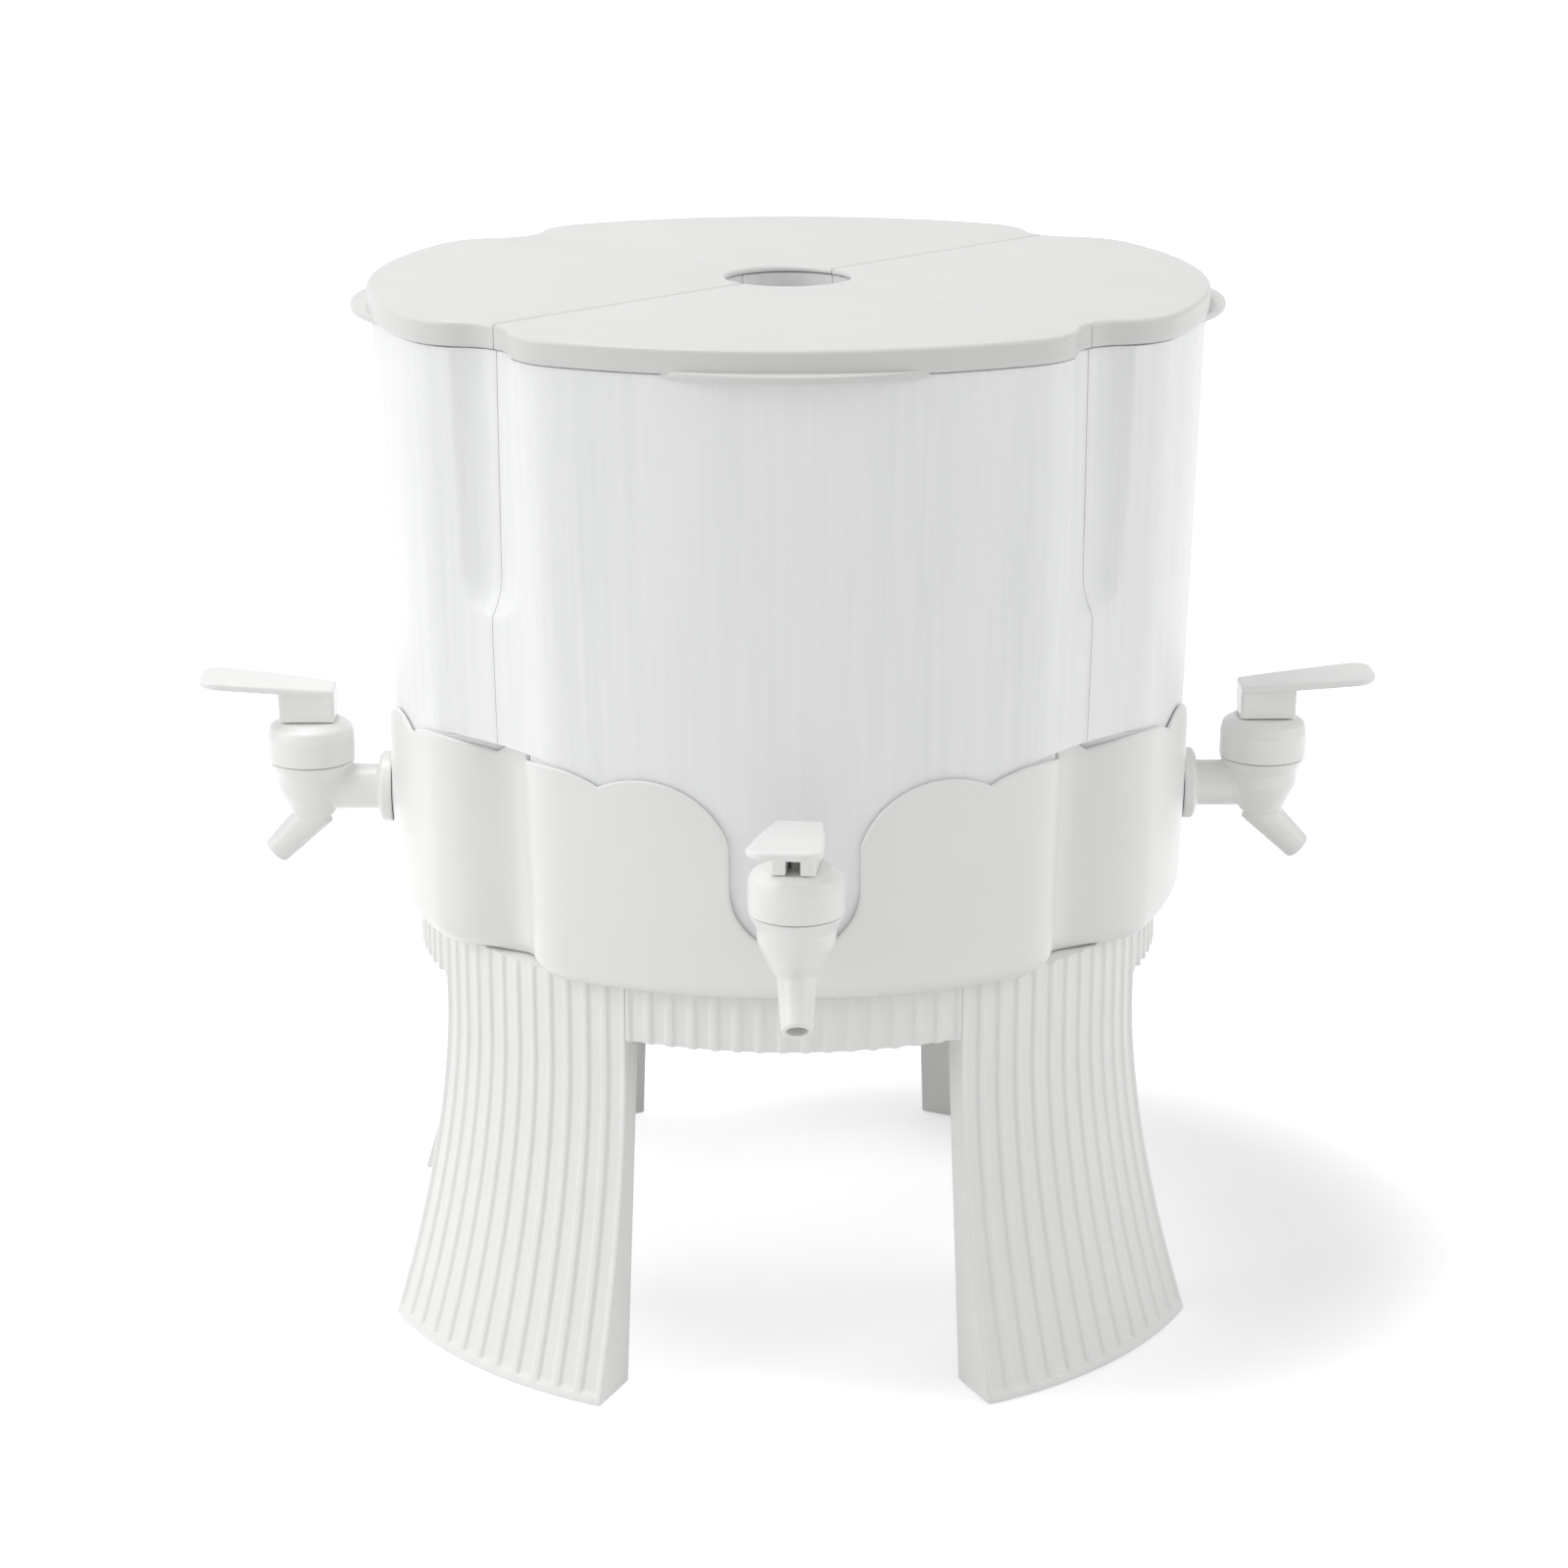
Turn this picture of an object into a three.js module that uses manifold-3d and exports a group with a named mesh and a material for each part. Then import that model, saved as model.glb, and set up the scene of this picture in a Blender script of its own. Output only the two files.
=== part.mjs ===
// Rotating drink dispenser: four lift-out tanks with press taps stand in a scalloped cradle,
// and the cradle turns on a ball ring on top of a fluted stand with four flared legs.
// Millimetres, +Z up. The origin is on the turning axis at the level of the feet, and -Y is the front.

import * as THREE from 'three';
import { mergeVertices } from 'three/addons/utils/BufferGeometryUtils.js';
import Module from 'manifold-3d';

const wasm = await Module();
wasm.setup();

const overrun = 6; // how far every cutter runs past what it cuts
const flatness = 0.01; // edges that lie this close to flat are merged away
const clear = { fit: 0.3, nest: 0.4, cover: 0.5 }; // gaps: seated parts, tank in cradle, lid round tank
const degree = Math.PI / 180;
const quarterTurn = Math.PI / 2;
const halfTurn = Math.PI;
const diagonal = Math.PI / 4;

// Plan of one petal, measured on the lid: its half width, the flat part of its flanks, its round corners,
// and how far its shallow outer arc bulges past the corners.
const petal = { half: 88.3, flank: 12.2, corner: 24, bulge: 16 };
const steps = { arc: 3, corner: 3, notch: 2, apex: 3 };

const stand = {
  height: 139, ringHeight: 19, radius: 128.6, depth: 8.9, straight: 29, footFlare: 22, innerFlare: 9.7,
  flarePower: 1.7, legHalfAngle: 20 * degree, flutes: 108, fluteDepth: 1, grooveStartShare: 0.25,
  skin: 2.2, topPlate: 2.4, rib: 2, footBand: 2.5, ringWall: 2.4, deck: 2.4,
  hubWall: 7.7, hubDrop: 12.6, trackInset: 27, trackRib: 1.6, trackHeight: 1.2,
};
const screw = { radius: 1.5, headRadius: 3.2, head: 2, length: 8, bossWall: 1.7 };
const spindle = {
  radius: 4, acrossCorners: 15, head: 5.3, nut: 6.5, washer: 1.5, washerRadius: 8.5, tail: 2.4,
};
const bearing = { ballRadius: 2.9, halfWidth: 6, cage: 3, count: 8 };
const cradle = {
  wall: 1.6, floor: 2.2, edgeRound: 8, notch: 8, hubWall: 4.2, hubWeb: 10.6, hubCup: 15,
  slotRoom: 7.6, slotUnder: 0.6, bumpRise: 12.5, bumpReach: 27.2, bumpHook: 1.3, dipDepth: 3.6,
  cornerLobe: 4.6, notchLobe: 3.8, notchLobeAngle: 3.2 * degree,
};
const tank = {
  height: 204.8, wall: 2.2, floor: 2.4, draft: 1.4 * degree, overhang: 1.3, gap: 1.5, apex: 21.6,
  edgeRound: 6.4, webRadius: 120, shelfGap: 0.9, tapRise: 29.1,
  scoopRadius: 18, scoopDepth: 6.5, scoopDrop: 78.7, rimStep: 1, rimLead: 0.4,
  padRadius: 13.2, padThickness: 3.7, padProud: 0.24,
};
const lid = {
  plate: 2, skirt: 6, edge: 1, gap: 1.6, notch: 17, wellLead: 0.6, plugDepth: 5, plugWall: 1.6,
  tabOut: 6, tabHalf: 38, tabLap: 1, tabThickness: 2.5,
};
const tap = {
  reach: 23.5, pipe: 8, pipeBore: 5, tail: 1.8, flange: 12.5, flangeThickness: 4.6, flangeRound: 1.5,
  flangeEdge: 1.2, neck: 11, barrel: 12.2, barrelRise: 5.2, taperRise: 0.5, collar: 15, collarRise: 10,
  toeRadius: 7.4, toeDrop: 9.5, cavity: 8, cavityDrop: 6,
  spoutReach: 14, spoutDrop: 24, spoutRoot: 5.9, spoutMouth: 4.8, spoutBore: 3.2,
};
const bonnet = { side: 8.7, crownIn: 0.9, crownRise: 3.4, topIn: 4.5, topRise: 2, roof: 6.4, neckRoom: 1 };
const gasket = { thickness: 1.5, inset: 1 };
const nut = { radius: 13, thickness: 6 };
const stem = { radius: 2, head: 3.4, headThickness: 2.6, slack: 0.8 };
const cup = {
  nose: 5.2, noseEdge: 0.7, noseHeight: 4, waist: 3.8, taper: 2.5, waistHeight: 7.6, flareHeight: 3.4,
  rimPlay: 0.7, rimHeight: 2, web: 5,
};
const lever = {
  height: 11.6, floor: 1.9, headSwing: 2.9, headPlay: 0.6, headRoom: 2.5, neckSwing: 2.2, neckPlay: 0.5,
  backWall: 2.6, toe: 6.3, sideWall: 2.9, notchPlay: 0.2, notchRise: 2.9,
  reach: 37.5, tipHalf: 11.7, tipRound: 7, tipRise: 4.5, rootLead: 0.3, thickness: 2.7,
  frontTurn: -7.5 * degree,
};

// Places that more than one piece works from.
const petalTip = petal.half + petal.flank + petal.corner + petal.bulge;
const cornerX = petal.half - petal.corner;
const cornerY = petal.half + petal.flank;
const petalArc = (cornerX ** 2 + (petal.bulge + petal.corner) ** 2 - petal.corner ** 2) / (2 * petal.bulge);
const arcCentre = petalTip - petalArc;

const cradleBottom = stand.height + clear.nest;
const deckTop = cradleBottom - 2 * (bearing.ballRadius + clear.fit);
const deckBottom = deckTop - stand.deck;
const ringBottom = stand.height - stand.ringHeight;
const hubBottom = deckBottom - stand.hubDrop;
const legFace = stand.radius - stand.depth;
const ringOuter = legFace - clear.fit;
const ringInner = ringOuter - stand.ringWall;
const trackRadius = ringInner - stand.trackInset;

const tankBottom = cradleBottom + cradle.floor + clear.fit;
const tankTop = tankBottom + tank.height;
const lidTop = tankTop + clear.fit + lid.plate;
const lidBottom = tankTop + clear.fit - lid.skirt;
const rimLevel = lidBottom - clear.cover;
const tankNotch = cradle.notch + cradle.wall + clear.nest;

const tapLevel = tankBottom + tank.tapRise;
const padOut = petalTip - tankInset(tapLevel) + tank.padProud;
const padIn = padOut - tank.padThickness;
const flangeIn = padOut + clear.fit + gasket.thickness + clear.fit;
const flangeOut = flangeIn + tap.flangeThickness;
const tapAxis = flangeOut + tap.reach;
const pipeEnd = padIn - clear.fit - nut.thickness - tap.tail;

const slotHalf = tank.padRadius + cradle.slotRoom;
const slotCentre = tapLevel - tank.padRadius - cradle.slotUnder + slotHalf;
const bumpAcross = slotHalf + cradle.bumpReach;
const bumpRadius = cradle.bumpReach + cradle.bumpHook;
const bumpLevel = tapLevel + cradle.bumpRise;
const dipLevel = bumpLevel + bumpRadius - cradle.dipDepth;
const shelfLevel = dipLevel + cradle.cornerLobe + tank.shelfGap;

const colours = { abs: 0xf3f3f1, frosted: 0xeef0f0, silicone: 0xe4e6e6, steel: 0xb9bcc0, acetal: 0xe9e7e0 };

function finish(colour, roughness, metalness = 0) {
  return new THREE.MeshStandardMaterial({ color: colour, roughness, metalness });
}

// A geometry as a solid: only positions stay, shared corners are merged and its faces are turned outward.
function solid(geometry) {
  const bare = new THREE.BufferGeometry();
  bare.setAttribute('position', geometry.getAttribute('position').clone());
  if (geometry.index) bare.setIndex(geometry.index.clone());
  const welded = mergeVertices(bare, 1e-4);
  const corners = [];
  const index = welded.index.array;
  for (let i = 0; i < index.length; i += 3) {
    const [a, b, c] = [index[i], index[i + 1], index[i + 2]];
    if (a !== b && b !== c && c !== a) corners.push(a, b, c);
  }
  const vertProperties = new Float32Array(welded.getAttribute('position').array);
  if (signedVolume(vertProperties, corners) < 0) corners.reverse();
  const triVerts = new Uint32Array(corners);
  return new wasm.Manifold(new wasm.Mesh({ numProp: 3, vertProperties, triVerts }));
}

function signedVolume(points, corners) {
  const [a, b, c] = [new THREE.Vector3(), new THREE.Vector3(), new THREE.Vector3()];
  let volume = 0;
  for (let i = 0; i < corners.length; i += 3) {
    a.fromArray(points, 3 * corners[i]);
    b.fromArray(points, 3 * corners[i + 1]);
    c.fromArray(points, 3 * corners[i + 2]);
    volume += a.dot(b.cross(c)) / 6;
  }
  return volume;
}

function meshOf(name, body, material) {
  const { vertProperties, triVerts } = body.asOriginal().simplify(flatness).getMesh();
  const geometry = new THREE.BufferGeometry();
  geometry.setAttribute('position', new THREE.BufferAttribute(vertProperties, 3));
  geometry.setIndex(new THREE.BufferAttribute(triVerts, 1));
  geometry.computeVertexNormals();
  const mesh = new THREE.Mesh(geometry, material);
  mesh.name = name;
  return mesh;
}

function turned(body, angle) {
  return body.rotate([0, 0, angle / degree]);
}

function around(count, make) {
  return Array.from({ length: count }, (_, i) => make(i, (i / count) * 2 * Math.PI));
}

function joined(bodies) {
  return bodies.reduce((all, body) => all.add(body));
}

// Closed solid through a row of rings with equal counts of points, closed by flat ends.
function wrapped(rings, ends) {
  const count = rings[0].length;
  const points = rings.flat();
  const index = [];
  for (let level = 0; level + 1 < rings.length; level++) {
    for (let i = 0; i < count; i++) {
      const next = (i + 1) % count;
      const [p, q] = [level * count + i, level * count + next];
      index.push(p, q, q + count, p, q + count, p + count);
    }
  }
  const last = (rings.length - 1) * count;
  for (const [a, b, c] of ends) {
    index.push(a, c, b, last + a, last + b, last + c);
  }
  const geometry = new THREE.BufferGeometry().setFromPoints(points);
  geometry.setIndex(index);
  return solid(geometry);
}

// Loft through plan outlines, each given with its level.
function loft(sections) {
  const ends = THREE.ShapeUtils.triangulateShape(sections[0].outline, []);
  return wrapped(sections.map(({ outline, z }) => outline.map((p) => new THREE.Vector3(p.x, p.y, z))), ends);
}

// Revolve of [radius, level] pairs about Z. The profile is a closed loop, or starts and ends on the axis.
function revolve(profile, segments) {
  const closed = profile[0][0] > 0;
  const points = (closed ? [...profile, profile[0]] : profile).map(([r, z]) => new THREE.Vector2(r, z));
  return solid(new THREE.LatheGeometry(points, segments).rotateX(quarterTurn));
}

// Round or tapered rod between two points.
function rod(from, to, fromRadius, toRadius, segments) {
  const along = new THREE.Vector3().subVectors(to, from);
  const geometry = new THREE.CylinderGeometry(toRadius, fromRadius, along.length(), segments);
  const up = new THREE.Vector3(0, 1, 0);
  geometry.applyQuaternion(new THREE.Quaternion().setFromUnitVectors(up, along.clone().normalize()));
  const middle = new THREE.Vector3().addVectors(from, to).multiplyScalar(1 / 2);
  geometry.translate(middle.x, middle.y, middle.z);
  return solid(geometry);
}

function block(low, high) {
  const size = high.map((value, i) => value - low[i]);
  const geometry = new THREE.BoxGeometry(...size);
  geometry.translate(...low.map((value, i) => value + size[i] / 2));
  return solid(geometry);
}

function tube(outer, inner, bottom, top, segments) {
  return revolve([[inner, bottom], [outer, bottom], [outer, top], [inner, top]], segments);
}

function hexagon(acrossCorners, bottom, top) {
  const geometry = new THREE.CylinderGeometry(acrossCorners / 2, acrossCorners / 2, top - bottom, 6);
  return solid(geometry.rotateX(quarterTurn).translate(0, 0, (bottom + top) / 2));
}

function polar(radius, angle) {
  return new THREE.Vector2(-radius * Math.sin(angle), radius * Math.cos(angle));
}

function arcPoints(centreX, centreY, radius, from, to, count) {
  return Array.from({ length: count + 1 }, (_, i) => {
    const angle = from + ((to - from) * i) / count;
    return new THREE.Vector2(centreX + radius * Math.cos(angle), centreY + radius * Math.sin(angle));
  });
}

// Centre of the round between two petals on the diagonal, as far along X as along Y. A small round touches
// the flat flanks, and one too large for them runs straight into the corners' rounds.
function notchCentre(inset, notch) {
  const onFlank = petal.half - inset + notch;
  if (onFlank <= cornerY) return onFlank;
  const apart = notch + petal.corner - inset;
  const skew = (cornerY - cornerX) / 2;
  return (cornerX + cornerY) / 2 + Math.sqrt(apart ** 2 / 2 - skew ** 2);
}

// How far from the axis the bottom of the notch lies on the diagonal.
function notchReach(inset, notch) {
  return notchCentre(inset, notch) * Math.SQRT2 - notch;
}

// One side of a petal whose axis is +Y, from the diagonal to the tip. Beside is how far it stays off the
// diagonal.
function petalSide(inset, notch, beside) {
  const centre = notchCentre(inset, notch);
  const lean = Math.atan2(Math.max(0, centre - cornerY), centre - cornerX);
  const tangent = Math.atan2(cornerY - arcCentre, cornerX);
  const start = halfTurn + diagonal - Math.asin(beside / notch);
  const round = arcPoints(centre, centre, notch, start, halfTurn + lean, steps.notch);
  const corner = arcPoints(cornerX, cornerY, petal.corner - inset, lean, tangent, steps.corner);
  const arc = arcPoints(0, arcCentre, petalArc - inset, tangent, quarterTurn, steps.arc);
  return [...round, ...corner, ...arc.slice(1)];
}

function mirroredBack(side) {
  return side.slice(0, -1).reverse().map((p) => new THREE.Vector2(-p.x, p.y));
}

// Outline of one quadrant: a petal closed by its two diagonal sides and a round cut at the axis.
function quadrant({ inset, notch, beside, apex }) {
  const side = petalSide(inset, notch, beside);
  const off = Math.asin(beside / apex);
  const reach = apex / Math.cos((diagonal - off) / steps.apex);
  const inner = arcPoints(0, 0, reach, 3 * diagonal - off, diagonal + off, steps.apex);
  return [...side, ...mirroredBack(side), ...inner];
}

// Outline of all four petals.
function cloverleaf(inset, notch) {
  const side = petalSide(inset, notch, 0);
  const whole = [...side, ...mirroredBack(side).slice(0, -1)];
  return around(4, (i, angle) => whole.map((p) => p.clone().rotateAround(new THREE.Vector2(), angle))).flat();
}

function tankInset(z) {
  return tank.overhang + (rimLevel - z) * Math.tan(tank.draft);
}

// Levels and extra insets that round the lower edge of a wall, from the floor up.
function roundedEdge(radius, bottom, count) {
  return Array.from({ length: count + 1 }, (_, i) => {
    const angle = (quarterTurn * i) / count;
    return { z: bottom + radius * (1 - Math.cos(angle)), extra: radius * (1 - Math.sin(angle)) };
  });
}

// Stand: ring with hub and ball track, fluted between the legs.

function flutedArc(radius, depth, from, to) {
  const pitches = Math.round(((to - from) / (2 * Math.PI)) * stand.flutes);
  const pitch = (to - from) / pitches;
  const points = [polar(radius, from)];
  for (let i = 0; i < pitches; i++) {
    const start = from + i * pitch;
    points.push(polar(radius - depth, start + stand.grooveStartShare * pitch));
    points.push(polar(radius - depth, start + (1 - stand.grooveStartShare) * pitch));
    points.push(polar(radius, start + pitch));
  }
  return points;
}

function plainArc(radius, from, to, count) {
  return Array.from({ length: count + 1 }, (_, i) => polar(radius, from + ((to - from) * i) / count));
}

// An arc whose chords touch the radius from outside, for faces that stand round something else.
function outerChords(radius, from, to, count) {
  return plainArc(radius / Math.cos((to - from) / count / 2), from, to, count);
}

// Hollow under a moulded shell, closed above: a sector between two radii, given at each level.
function sectorPocket(sections, from, to, count) {
  return loft(sections.map(({ z, inner, outer, side }) => {
    const [start, end] = [from + side / outer, to - side / outer];
    return { z, outline: [...plainArc(outer, start, end, count), ...plainArc(inner, end, start, count)] };
  }));
}

const seamHalf = clear.fit / 2 / stand.radius;
const screwLevel = (ringBottom + deckBottom) / 2;
const ringFacets = 32;
const screwSeat = ringInner * Math.cos(Math.PI / ringFacets) - clear.fit;

function ringSegment() {
  const [from, to] = [stand.legHalfAngle - 2 * diagonal + seamHalf, -stand.legHalfAngle - seamHalf];
  const outline = [
    ...flutedArc(stand.radius, stand.fluteDepth, from, to),
    ...plainArc(ringOuter - stand.ringWall / 2, to, from, 4),
  ];
  const shell = loft([{ outline, z: ringBottom }, { outline, z: stand.height }]);
  const hollow = { inner: ringOuter, outer: stand.radius - stand.fluteDepth - stand.skin, side: stand.skin };
  const pocket = sectorPocket([
    { z: ringBottom - overrun, ...hollow }, { z: stand.height - stand.topPlate, ...hollow },
  ], from, to, 4);
  return turned(shell.subtract(pocket), diagonal);
}

function screwHole() {
  const from = new THREE.Vector3(0, ringInner - overrun, screwLevel);
  const to = new THREE.Vector3(0, screwSeat + screw.length + clear.cover, screwLevel);
  return rod(from, to, screw.radius + clear.fit, screw.radius + clear.fit, 8);
}

function standRing() {
  const hubRadius = spindle.radius + clear.fit + stand.hubWall;
  const hubTop = cradleBottom - clear.fit;
  const track = (trackRadius + bearing.halfWidth + clear.fit) / Math.cos(Math.PI / ringFacets);
  const trackTop = deckTop + stand.trackHeight;
  const bore = spindle.radius + clear.fit;
  const body = revolve([
    [bore, hubBottom], [hubRadius, hubBottom], [hubRadius, deckBottom],
    [ringInner, deckBottom], [ringInner, ringBottom], [ringOuter, ringBottom],
    [ringOuter, stand.height], [ringInner, stand.height], [ringInner, deckTop],
    [track + stand.trackRib, deckTop], [track + stand.trackRib, trackTop], [track, trackTop],
    [track, deckTop], [hubRadius, deckTop], [hubRadius, hubTop], [bore, hubTop],
  ], ringFacets);
  const segment = ringSegment();
  const ribs = around(4, (i, angle) => {
    const low = [-stand.rib / 2, hubRadius - stand.rib, hubBottom + stand.rib];
    const high = [stand.rib / 2, ringInner + stand.rib / 2, deckBottom + stand.rib / 2];
    return turned(block(low, high), angle);
  });
  const whole = joined([body, ...around(4, (i, angle) => turned(segment, angle)), ...ribs]);
  return whole.subtract(joined(around(4, (i, angle) => turned(screwHole(), angle + diagonal))));
}

// Leg: a flared, fluted shell, open below, that stands against the ring and is screwed to it.

function flare(z) {
  return Math.max(0, 1 - z / (stand.height - stand.straight));
}

function legOuter(z) {
  return stand.radius + stand.footFlare * flare(z) ** stand.flarePower;
}

function legInner(z) {
  return legFace + stand.innerFlare * flare(z);
}

const legShares = [1, 0.79, 0.5, 0.25];

function leg() {
  const [from, to] = [-stand.legHalfAngle + seamHalf, stand.legHalfAngle - seamHalf];
  const section = (z, outer) => ({ z, outline: [...outer, ...outerChords(legInner(z), to, from, 3)] });
  const heights = [stand.footBand, ...legShares.map((share) => share * stand.height).reverse()];
  const shell = loft(heights.map((z) => section(z, flutedArc(legOuter(z), stand.fluteDepth, from, to))));
  const bandTop = stand.footBand + clear.fit;
  const band = loft([0, bandTop].map((z) => section(z, plainArc(legOuter(z), from, to, 12))));
  const hollow = (z) => ({
    inner: legInner(z) + stand.skin, outer: legOuter(z) - stand.fluteDepth - stand.skin, side: stand.skin,
  });
  const shares = legShares.slice(1).reverse();
  const pocket = sectorPocket([
    { z: -overrun, ...hollow(0) },
    ...shares.map((share) => ({ z: share * stand.height, ...hollow(share * stand.height) })),
    { z: stand.height - stand.topPlate, ...hollow(stand.height) },
  ], from, to, 4);
  const bossRadius = screw.radius + clear.fit + screw.bossWall;
  const boss = rod(
    new THREE.Vector3(0, legFace, screwLevel),
    new THREE.Vector3(0, stand.radius - stand.fluteDepth - stand.skin / 2, screwLevel),
    bossRadius, bossRadius, 8,
  );
  return shell.add(band).subtract(pocket.subtract(boss)).subtract(screwHole());
}

function legScrew() {
  const one = revolve([
    [0, screwSeat - screw.head], [screw.headRadius, screwSeat - screw.head], [screw.headRadius, screwSeat],
    [screw.radius, screwSeat], [screw.radius, screwSeat + screw.length], [0, screwSeat + screw.length],
  ], 8);
  return one.rotate([-90, 0, 0]).translate([0, 0, screwLevel]);
}

// Ball ring between stand and cradle, and the spindle bolt that holds the cradle down.

const ballLevel = deckTop + clear.fit + bearing.ballRadius;

function bearingBall() {
  return solid(new THREE.SphereGeometry(bearing.ballRadius, 8, 4).rotateX(quarterTurn));
}

function bearingCage() {
  const low = ballLevel - bearing.cage / 2;
  const high = low + bearing.cage;
  const flat = tube(trackRadius + bearing.halfWidth, trackRadius - bearing.halfWidth, low, high, 24);
  const pocket = bearing.ballRadius + clear.nest;
  const hole = rod(
    new THREE.Vector3(0, trackRadius, low - overrun), new THREE.Vector3(0, trackRadius, high + overrun),
    pocket, pocket, 8,
  );
  return flat.subtract(joined(around(bearing.count, (i, angle) => turned(hole, angle))));
}

const hubSeat = cradleBottom + cradle.hubWeb;
const washerBottom = hubSeat + clear.fit;

function spindleWasher() {
  const bore = spindle.radius + clear.fit;
  return tube(spindle.washerRadius, bore, washerBottom, washerBottom + spindle.washer, 12);
}

function spindleBolt() {
  const seat = washerBottom + spindle.washer + clear.fit;
  const head = hexagon(spindle.acrossCorners, seat, seat + spindle.head);
  const end = hubBottom - clear.fit - spindle.nut - spindle.tail;
  const shank = rod(
    new THREE.Vector3(0, 0, end), new THREE.Vector3(0, 0, seat + spindle.head / 2),
    spindle.radius, spindle.radius, 12,
  );
  return head.add(shank);
}

function spindleNut() {
  const top = hubBottom - clear.fit;
  const bore = rod(
    new THREE.Vector3(0, 0, top - spindle.nut - overrun), new THREE.Vector3(0, 0, top + overrun),
    spindle.radius + clear.fit, spindle.radius + clear.fit, 12,
  );
  return hexagon(spindle.acrossCorners, top - spindle.nut, top).subtract(bore);
}

// Cradle: thin cloverleaf wall with a scalloped crown, an open slot for each tap and a central hub.

const crownTop = dipLevel + cradle.cornerLobe + overrun;
const dipFall = Math.asin((dipLevel - bumpLevel) / bumpRadius);
const dipAcross = bumpAcross + bumpRadius * Math.cos(dipFall);

function cradleInset(z) {
  return tankInset(z) - clear.nest - cradle.wall;
}

function cradleShell() {
  const outer = roundedEdge(cradle.edgeRound, cradleBottom, 2).map(({ z, extra }) => (
    { z, outline: cloverleaf(cradleInset(z) + extra, cradle.notch) }));
  outer.push({ z: crownTop, outline: cloverleaf(cradleInset(crownTop), cradle.notch) });
  const floor = cradleBottom + cradle.floor;
  const innerNotch = cradle.notch + cradle.wall;
  const inner = roundedEdge(cradle.edgeRound - cradle.wall, floor, 2).map(({ z, extra }) => (
    { z, outline: cloverleaf(cradleInset(z) + cradle.wall + extra, innerNotch) }));
  const above = crownTop + overrun;
  inner.push({ z: above, outline: cloverleaf(cradleInset(above) + cradle.wall, innerNotch) });
  return loft(outer).subtract(loft(inner));
}

// Cut above the two round bumps beside a tap slot, seen square on, and down the slot to its round bottom.
function slotCutter() {
  const rise = Math.acos((bumpAcross - slotHalf) / bumpRadius);
  const side = dipAcross + cradle.wall;
  const shape = new THREE.Shape();
  shape.moveTo(-side, crownTop + overrun);
  shape.lineTo(-side, dipLevel);
  shape.absarc(-bumpAcross, bumpLevel, bumpRadius, halfTurn - dipFall, rise, true);
  shape.absarc(0, slotCentre, slotHalf, halfTurn, 2 * halfTurn, false);
  shape.absarc(bumpAcross, bumpLevel, bumpRadius, halfTurn - rise, dipFall, true);
  shape.lineTo(side, dipLevel);
  shape.lineTo(side, crownTop + overrun);
  const depth = petalTip - petal.half;
  const geometry = new THREE.ExtrudeGeometry(shape, { depth, bevelEnabled: false, curveSegments: 5 });
  return solid(geometry.rotateX(quarterTurn).translate(0, petalTip + overrun, 0));
}

// The crown's height along a lobe that spans two azimuths.
function lobe(from, to, height, count) {
  return Array.from({ length: count + 1 }, (_, i) => {
    const side = (2 * i) / count - 1;
    return { angle: from + ((to - from) * i) / count, z: dipLevel + height * (1 - side * side) };
  });
}

// Cut above the lobes that run round a corner, across the notch and round the next petal's corner.
function notchCutter() {
  const dipAlong = arcCentre + Math.sqrt((petalArc - cradleInset(dipLevel)) ** 2 - dipAcross ** 2);
  const start = Math.atan2(dipAcross, dipAlong);
  const near = diagonal - cradle.notchLobeAngle;
  const crown = [
    ...lobe(start, near, cradle.cornerLobe, 4),
    ...lobe(near, 2 * diagonal - near, cradle.notchLobe, 3).slice(1),
    ...lobe(2 * diagonal - near, 2 * diagonal - start, cradle.cornerLobe, 4).slice(1),
  ];
  const above = crownTop + overrun;
  const rings = crown.map(({ angle, z }) => {
    const [low, high] = [polar(petal.half, -angle), polar(petalTip + overrun, -angle)];
    return [
      new THREE.Vector3(low.x, low.y, z), new THREE.Vector3(high.x, high.y, z),
      new THREE.Vector3(high.x, high.y, above), new THREE.Vector3(low.x, low.y, above),
    ];
  });
  return wrapped(rings, [[0, 1, 2], [0, 2, 3]]);
}

function cradleBody() {
  const bore = spindle.radius + clear.nest;
  const hubRadius = tank.apex - clear.nest;
  const headRoom = hubRadius - cradle.hubWall;
  const hubTop = hubSeat + cradle.hubCup;
  const hub = revolve([
    [bore, cradleBottom], [hubRadius, cradleBottom], [hubRadius, hubTop],
    [headRoom, hubTop], [headRoom, hubSeat], [bore, hubSeat],
  ], 16);
  const hole = rod(
    new THREE.Vector3(0, 0, cradleBottom - overrun), new THREE.Vector3(0, 0, hubSeat),
    headRoom, headRoom, 16,
  );
  const cutters = around(4, (i, angle) => turned(slotCutter().add(notchCutter()), angle));
  return cradleShell().subtract(hole).add(hub).subtract(joined(cutters));
}

// Tank: a drafted quadrant shell. It sits in the cradle up to a shelf over the notch, and above that its
// corners are filled out by a web with a finger scoop in it. A stepped rim takes the lid.

function tankSection(z, inset, notch, off) {
  return { z, outline: quadrant({ inset, notch, beside: tank.gap / 2 + off, apex: tank.apex + off }) };
}

// Sections through the part in the cradle, the web above it and the rim. Off is the distance inside the
// outer face, and extra takes more off the outline alone.
function seatSection(z, off, extra) {
  return tankSection(z, tankInset(z) + off + extra, tankNotch + off, off);
}

function webSection(z, off) {
  return tankSection(z, tankInset(z) + off, tank.webRadius + off, off);
}

function rimSection(z, off, extra) {
  const inset = tankInset(z) + off + extra;
  return tankSection(z, inset, lid.notch + inset, off);
}

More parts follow.
